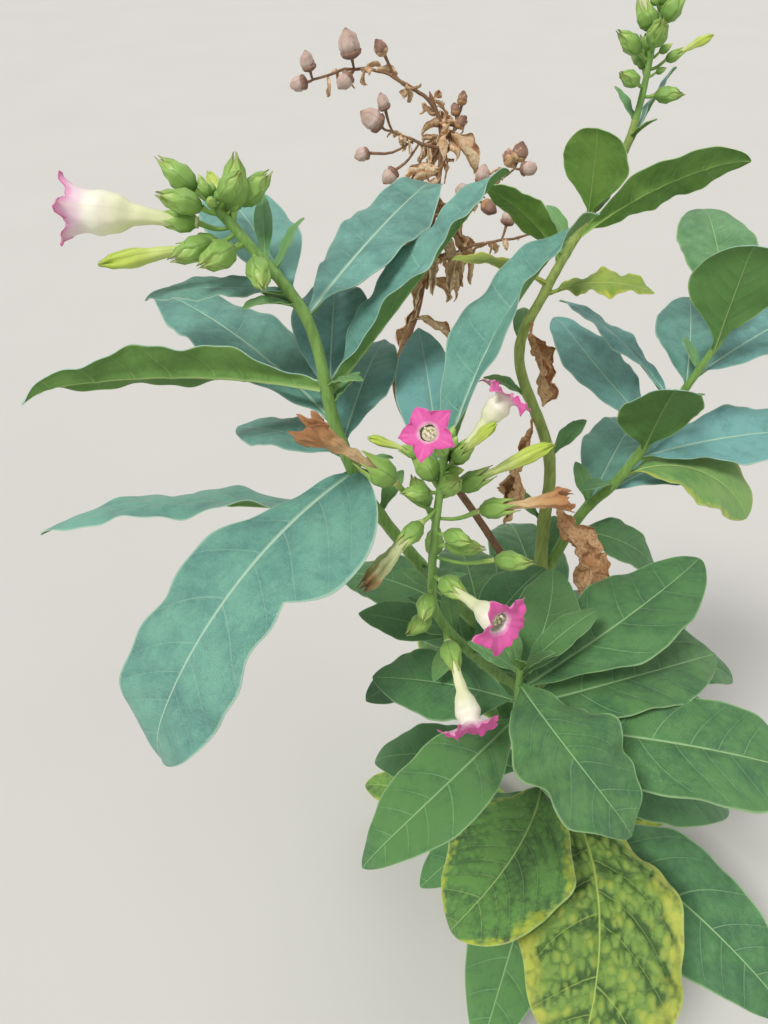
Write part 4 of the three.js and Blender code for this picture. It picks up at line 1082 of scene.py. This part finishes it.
POD_SHAPE = [(0, 0.01), (0.12, 0.6), (0.4, 1.0), (0.7, 0.75), (0.93, 0.16), (1.0, 0.01)]
CAPSULE_SHAPE = [(0, 0.01), (0.12, 0.7), (0.42, 1.0), (0.7, 0.86), (0.88, 0.45), (1.0, 0.03)]
THROAT_SHAPE = [(0, 0.01), (0.4, 0.4), (0.85, 1.0), (0.97, 0.8), (1.0, 0.02)]
BUD_TIP = [(0, 0.4), (0.4, 0.47), (0.6, 0.75), (0.78, 1.0), (0.9, 0.8), (1.0, 0.22)]
SPENT_TUBE = [(0, 0.34), (0.55, 0.4), (0.76, 0.7), (0.9, 0.85), (1.0, 1.25)]
FADING_TUBE = [(0, 0.45), (0.4, 0.6), (0.7, 1.0), (0.88, 0.95), (1.0, 0.6)]


SLIM_TUBE = [(0, 0.13), (0.3, 0.15), (0.46, 0.19), (0.58, 0.36), (0.67, 0.44), (0.74, 0.34), (1.0, 1.14)]
FULL_TUBE = [(0, 0.17), (0.3, 0.22), (0.42, 0.29), (0.56, 0.56), (0.67, 0.66), (0.74, 0.6), (1.0, 1.14)]
FULL_STRETCH = 1.2  # a corolla that is more stretched has the full tube
WIDE_THROAT = 0.88  # how far up the throat ends where the lobes spread flat
LOBE_TOP = 0.98  # and how far up the lobes end
THROAT = 0.74  # share of the rings up to the throat, past which the lobes open
DROP = 0.0008  # how much a corolla bends down, for each millimetre of its length


def open_corolla(start, direction, size, seed, stretch):
    """The trumpet: a slim tube, a swollen throat and five pointed lobes with a crease down each. Where the
    stretch isn't 1, the lobes still point forward, and a long one has a fuller throat."""
    length, wide = COROLLA_LENGTH * size * stretch, MOUTH_RADIUS * size
    profile = SLIM_TUBE if stretch <= FULL_STRETCH else FULL_TUBE
    throat, depth = (WIDE_THROAT, 0.38) if stretch == 1 else (0.8, 0.5)
    if stretch > FULL_STRETCH:
        throat = 0.74
    chance = random.Random(seed)
    turn = chance.uniform(0, 2 * math.pi)
    droop = [chance.uniform(-0.04, 0.05) for _ in range(LOBES)]

    def open_share(share):
        return max(0, (share - THROAT) / (1 - THROAT))

    def radius_at(angle, share, side):
        off = lobe_share(angle + turn)
        notch = (depth * off ** 0.68 + 0.05 * off ** 6) * open_share(share) ** 1.1
        plait = 1 + 0.03 * math.cos(LOBES * (angle + turn)) * (1 - open_share(share))
        return wide * smooth_through(profile, share) * (1 - notch) * plait - (0 if side else 0.3)

    def height_at(angle, share, side):
        opened, off = open_share(share), lobe_share(angle + turn)
        low = throat * min(share / THROAT, 1) + (LOBE_TOP - throat) * math.sin(math.pi / 2 * opened)
        low = length * low - 1.1 * (WIDE_THROAT - throat) * length * off ** 0.8 * opened
        crease = 0.04 * (off - 0.5) * opened
        curl = (droop[lobe_number(angle + turn)] - 0.05) * opened ** 2 * (1 - off)
        ruffle = 0.016 * math.sin(3 * LOBES * angle) * opened ** 2
        return low + length * (curl + crease + ruffle) + (0 if side else 0.3 * opened)
    place = turned_place(start, direction, radius_at, height_at, DROP, squash=0.4 * size, seed=len(seed))
    return sleeve(80, 36, place, walled=True, material=BACK, inside=FACE)


STALK_RADIUS = 0.3


def stamens(bm, start, direction, size, seed, stretch):
    """Five anthers and a stigma in the throat, and the pale body that closes it below them."""
    length = COROLLA_LENGTH * size * stretch
    chance = random.Random(seed + "stamens")
    across = direction.orthogonal().normalized()
    for i in range(6):
        out = Quaternion(direction, 2 * math.pi * i / 5 + chance.uniform(-0.2, 0.2)) @ across
        reach = length * (0.87 if i < 5 else 0.9) + chance.uniform(-1.2, 1.2)
        lean = out * (2.3 * size if i < 5 else 0.3)
        tip = start + direction * reach + lean
        stalk = Path([start + direction * reach * 0.6 + lean * 0.6, tip])
        poured_in(bm, sleeve(5, 2, tube_place(stalk, lambda share, angle: STALK_RADIUS), material=CAPSULE))
        head, foot = ANTHER if i < 5 else CAPSULE, tip - direction * 0.5
        poured_in(bm, ovoid(foot, direction, 0.75 * size, 2 * size, head, POD_SHAPE, sides=8, rings=5))
    plug = start + direction * length * 0.57
    poured_in(bm, ovoid(plug, direction, 0.3 * MOUTH_RADIUS * size, length * 0.27, ANTHER, THROAT_SHAPE))


BUD_RADIUS = 4.1
SPENT_RADIUS = 4.6


def bud_corolla(start, direction, size, seed, stretch):
    """A corolla still rolled up: plaited ribs whose tips part at the end."""
    length = COROLLA_LENGTH * size * stretch

    def radius_at(angle, share, side):
        plait = 1 + 0.22 * math.cos(LOBES * angle + 5 * share) * max(0, share - 0.3)
        return BUD_RADIUS * size * smooth_through(BUD_TIP, share) * plait

    def height_at(angle, share, side):
        parted = 0.5 + 0.5 * math.cos(LOBES * angle + 5)
        return length * (0.97 * share + 0.1 * (parted ** 3 - 0.4) * share ** 9)
    place = turned_place(start, direction, radius_at, height_at, DROP, squash=0.4, seed=len(seed))
    return sleeve(30, 26, place, material=BUD)


def withered_corolla(start, direction, size, seed, profile=SPENT_TUBE, material=WITHERED):
    """A spent trumpet: a creased tube that has shrunk, with a ragged, crumpled mouth."""
    length = COROLLA_LENGTH * size
    turn = random.Random(seed).uniform(0, 2 * math.pi)

    def radius_at(angle, share, side):
        crease = 1 + 0.2 * math.cos(6 * (angle + turn) + 3 * share) * share
        return SPENT_RADIUS * size * smooth_through(profile, share) * crease - (0 if side else 0.35)

    def height_at(angle, share, side):
        ragged = 0.06 * math.sin(5 * angle + turn) * share ** 6 + 0.03 * math.sin(11 * angle) * share ** 8
        return length * (0.97 * share + ragged)
    place = turned_place(start, direction, radius_at, height_at, 1.5 * DROP, 1.3 * size, seed=len(seed))
    return sleeve(36, 26, place, walled=True, material=material)


def stalk_tube(start, end, thin, thick, material):
    """A short stalk that sags a little and gets thicker towards its end."""
    middle = start.lerp(end, 0.5) - Vector((0, 0, 0.12)) * (end - start).length
    line = limb_path([start, middle, end])
    place = tube_place(line, lambda share, angle: thin + (thick - thin) * share ** 2)
    return sleeve(8, 6, place, material=material)


def flower(bm, path, item, name):
    """A stalk with its calyx, and in it a flower, a bud, a green pod, or a fading or withered flower."""
    share, azimuth, rise, stalk, kind, size, stretch = (*item, 1)[:7]
    start = path.at(share)
    direction = heading(azimuth, rise)
    foot = start + direction * stalk
    poured_in(bm, stalk_tube(start, foot + direction * 0.6, 0.9, 1.5 * size, CALYX))
    mouth = {"pod": 0.16, "flower": 0.46}.get(kind, 0.6)
    poured_in(bm, calyx(foot, direction, size, mouth, name, shortening=0.82 if kind == "flower" else 1))
    if kind == "pod":
        wide, length = 0.84 * CALYX_RADIUS * size, 0.86 * CALYX_LENGTH * size
        poured_in(bm, ovoid(foot + direction, direction, wide, length, CAPSULE, POD_SHAPE))
    elif kind == "flower":
        poured_in(bm, open_corolla(foot, direction, size, name, stretch))
        stamens(bm, foot, direction, size, name, stretch)
    elif kind == "bud":
        poured_in(bm, bud_corolla(foot, direction, size, name, stretch))
    elif kind == "fading":
        poured_in(bm, withered_corolla(foot, direction, size, name, FADING_TUBE, FADING))
    else:
        poured_in(bm, withered_corolla(foot, direction, size, name))


for node, (limb, items) in HEADS.items():
    path = PATHS[limb]
    bm = new_bmesh()
    rings = round(path.length * (1 - LIMBS[limb]["share"]) / 3)
    poured_in(bm, stem(limb, 14, rings, LIMBS[limb]["share"], 1, material=AXIS))
    for count, item in enumerate(items):
        flower(bm, path, item, f"{node}{count}")
    chance = random.Random(node)
    for count in range(TINY_BUDS):
        share = 1 - 0.045 * chance.random()
        azimuth = GOLDEN_ANGLE * count
        item = (share, azimuth, chance.uniform(25, 75), chance.uniform(3, 6), "pod", chance.uniform(0.3, 0.5))
        flower(bm, path, item, f"{node}tiny{count}")
    finished(f"{node}_bloom", bm, FLOWER_SKINS, "flower_heads", node)


# The dry seed head

SEED_HEAD_SKINS = [
    STEM_SKINS["dry_stem"][1], HUSK_SKIN, dry_skin("bract_tan", "f6dfbd", "d6ad7e", "8f6a45"),
    dry_skin("bract_brown", "e3bf93", "b98c60", "7a5638"), HUSK_DARK_SKIN]
WOODY, HUSK, TAN_BRACT, BROWN_BRACT, DARK_HUSK = range(len(SEED_HEAD_SKINS))
DARK_CAPSULES = 0.3  # share of them
CROOK_REACH = 11  # a twig wanders over such lengths
CROOK_SIZE = 2.2


def capsule(bm, start, direction, stalk, size, name):
    """A dry seed capsule in its papery calyx."""
    foot = start + direction * stalk
    poured_in(bm, stalk_tube(start, foot + direction, 0.7, 1.0, WOODY))
    dark = random.Random(name).random() < DARK_CAPSULES
    papery, husk, shortening = (BROWN_BRACT, DARK_HUSK, 0.62) if dark else (DARK_HUSK, HUSK, 0.42)
    width = CAPSULE_RADIUS / CALYX_RADIUS * size
    poured_in(bm, calyx(foot, direction, width, 0.9, name, material=papery, shortening=shortening))
    poured_in(bm, ovoid(foot + direction * 0.5, direction, 4.9 * size, CAPSULE_LENGTH * 0.95 * size, husk,
                        CAPSULE_SHAPE, seed=len(name), squash=0.8))


def scrap(bm, path, share, name, azimuth, rise, length, width):
    """A shrivelled leaf."""
    row = leaf(share, azimuth, rise, -60, length, width, crumple=0.6, curl=2.2)
    poured_in(bm, blade(row, path.at(share), name, fineness=0.7, faces=(TAN_BRACT, BROWN_BRACT)))


def crooked(line):
    """A path that wanders from its line, more and more over its first steps."""
    points = [line.points[0]]
    for i, point in enumerate(line.points[1:]):
        points.append(point + noise.noise_vector(point / CROOK_REACH) * CROOK_SIZE * min(1, i / 12))
    return Path(points)


def seed_head():
    """The axis, its twigs with their capsules and bracts, and the shrivelled leaves on it."""
    limb = "dry_stem"
    path, low = PATHS[limb], LIMBS[limb]["share"]
    chance = random.Random("scraps")
    bm = new_bmesh()
    poured_in(bm, stem(limb, 12, round(path.length * (1 - low) / 3), low, 1))
    for number, (share, azimuth, rise, bend, length, capsules) in enumerate(TWIGS):
        way = arc_path(path.at(share), length, lambda part: heading(azimuth, rise + bend * part))
        line = crooked(way)
        poured_in(bm, sleeve(8, 24, tube_place(line, lambda part, angle: 1.2 - 0.5 * part)))
        for count, (part, swing, up, stalk, size) in enumerate(capsules):
            capsule(bm, line.at(part), heading(azimuth + swing, up), stalk, size, f"capsule{number}{count}")
        for count in range(TWIG_SCRAPS):
            scrap(bm, line, chance.uniform(0.1, 0.97), f"twig{number}{count}", chance.uniform(0, 360),
                  chance.uniform(-75, 40), chance.uniform(6, 13), chance.uniform(3, 6))
        for count in range(HANGING_SCRAPS if number in HANGING_TWIGS else 0):
            scrap(bm, line, chance.uniform(0.02, 0.4), f"hanging{number}{count}", chance.uniform(0, 360),
                  chance.uniform(-60, -20), chance.uniform(26, 48), chance.uniform(8, 14))
    for i in range(AXIS_LEAVES):
        share = low + 0.03 + (0.97 - low) * i / AXIS_LEAVES
        scrap(bm, path, share, f"scrap{i}", GOLDEN_ANGLE * i, -10, 34, 15)
        for count in range(LEAF_SHREDS):
            near = min(share + chance.uniform(-0.03, 0.03), 0.99)
            scrap(bm, path, near, f"scrap{i}{count}", chance.uniform(0, 360), chance.uniform(-50, 25),
                  chance.uniform(16, 30), chance.uniform(9, 16))
    for count in range(TUFT_SCRAPS):
        scrap(bm, path, chance.uniform(0.8, 0.99), f"tuft{count}", chance.uniform(0, 360),
              chance.uniform(-60, 50), chance.uniform(10, 22), chance.uniform(4, 9))
    return bm


finished("seed_head_husks", seed_head(), SEED_HEAD_SKINS, "seed_head", "seed_head")


# Floor, light and camera

FLOOR_SIDE = 24.0
DAYLIGHT = 0.48  # strength of the light from all round
bm = bmesh.new()
bmesh.ops.create_grid(bm, x_segments=8, y_segments=8, size=FLOOR_SIDE / 2)
mesh = bpy.data.meshes.new("floor")
bm.to_mesh(mesh)
bm.free()
floor = bpy.data.objects.new("floor", mesh)
bpy.context.collection.objects.link(floor)
plain, make = started("floor_plain_pale")
place = make("TexCoord").outputs["Object"]
grain = make("TexNoise", named={"Vector": place, "Scale": per_metre(FLOOR_CLOUDS)})
tint = make("Mix", grain, colour("cfccc5"), colour("cac7c0"), data_type="RGBA")
make("OutputMaterial", make("BsdfPrincipled", named={"Base Color": tint, "Roughness": 0.9}))
mesh.materials.append(plain)

world = bpy.data.worlds.new("studio")
world.use_nodes = True
sky = world.node_tree.nodes["Background"].inputs
sky["Color"].default_value = colour("eef0f2")
sky["Strength"].default_value = DAYLIGHT
bpy.context.scene.world = world

# Far, broad lamps: strength, and the width of the lamp as seen from the plant, in degrees.

for name, spot, strength, width in (
    ("key", (-1.1, -0.9, 2.2), 2.15, 16),
    ("fill", (1.7, -1.2, 1.3), 0.4, 50),
    ("back", (0.6, 1.9, 1.7), 0.6, 40),
):
    lamp = bpy.data.lights.new(name, "SUN")
    lamp.energy, lamp.angle = strength, math.radians(width)
    light = bpy.data.objects.new(name, lamp)
    light.location = spot
    light.rotation_euler = Vector(spot).to_track_quat("Z", "Y").to_euler()
    bpy.context.collection.objects.link(light)

# The camera: where it stands in metres, how far down it looks in degrees, and its lens in millimetres.

CAMERA_PLACE = (-0.185, -0.385, 0.850)
CAMERA_DOWN = 42
FOCAL_LENGTH = 26
SENSOR_WIDTH = 34.6

lens = bpy.data.cameras.new("camera")
lens.lens = FOCAL_LENGTH
lens.sensor_width = SENSOR_WIDTH
lens.clip_start = 0.01
camera = bpy.data.objects.new("camera", lens)
camera.location = CAMERA_PLACE
camera.rotation_euler = (math.radians(90 - CAMERA_DOWN), 0, 0)
bpy.context.collection.objects.link(camera)
bpy.context.scene.camera = camera
bpy.context.scene.view_settings.view_transform = "Standard"
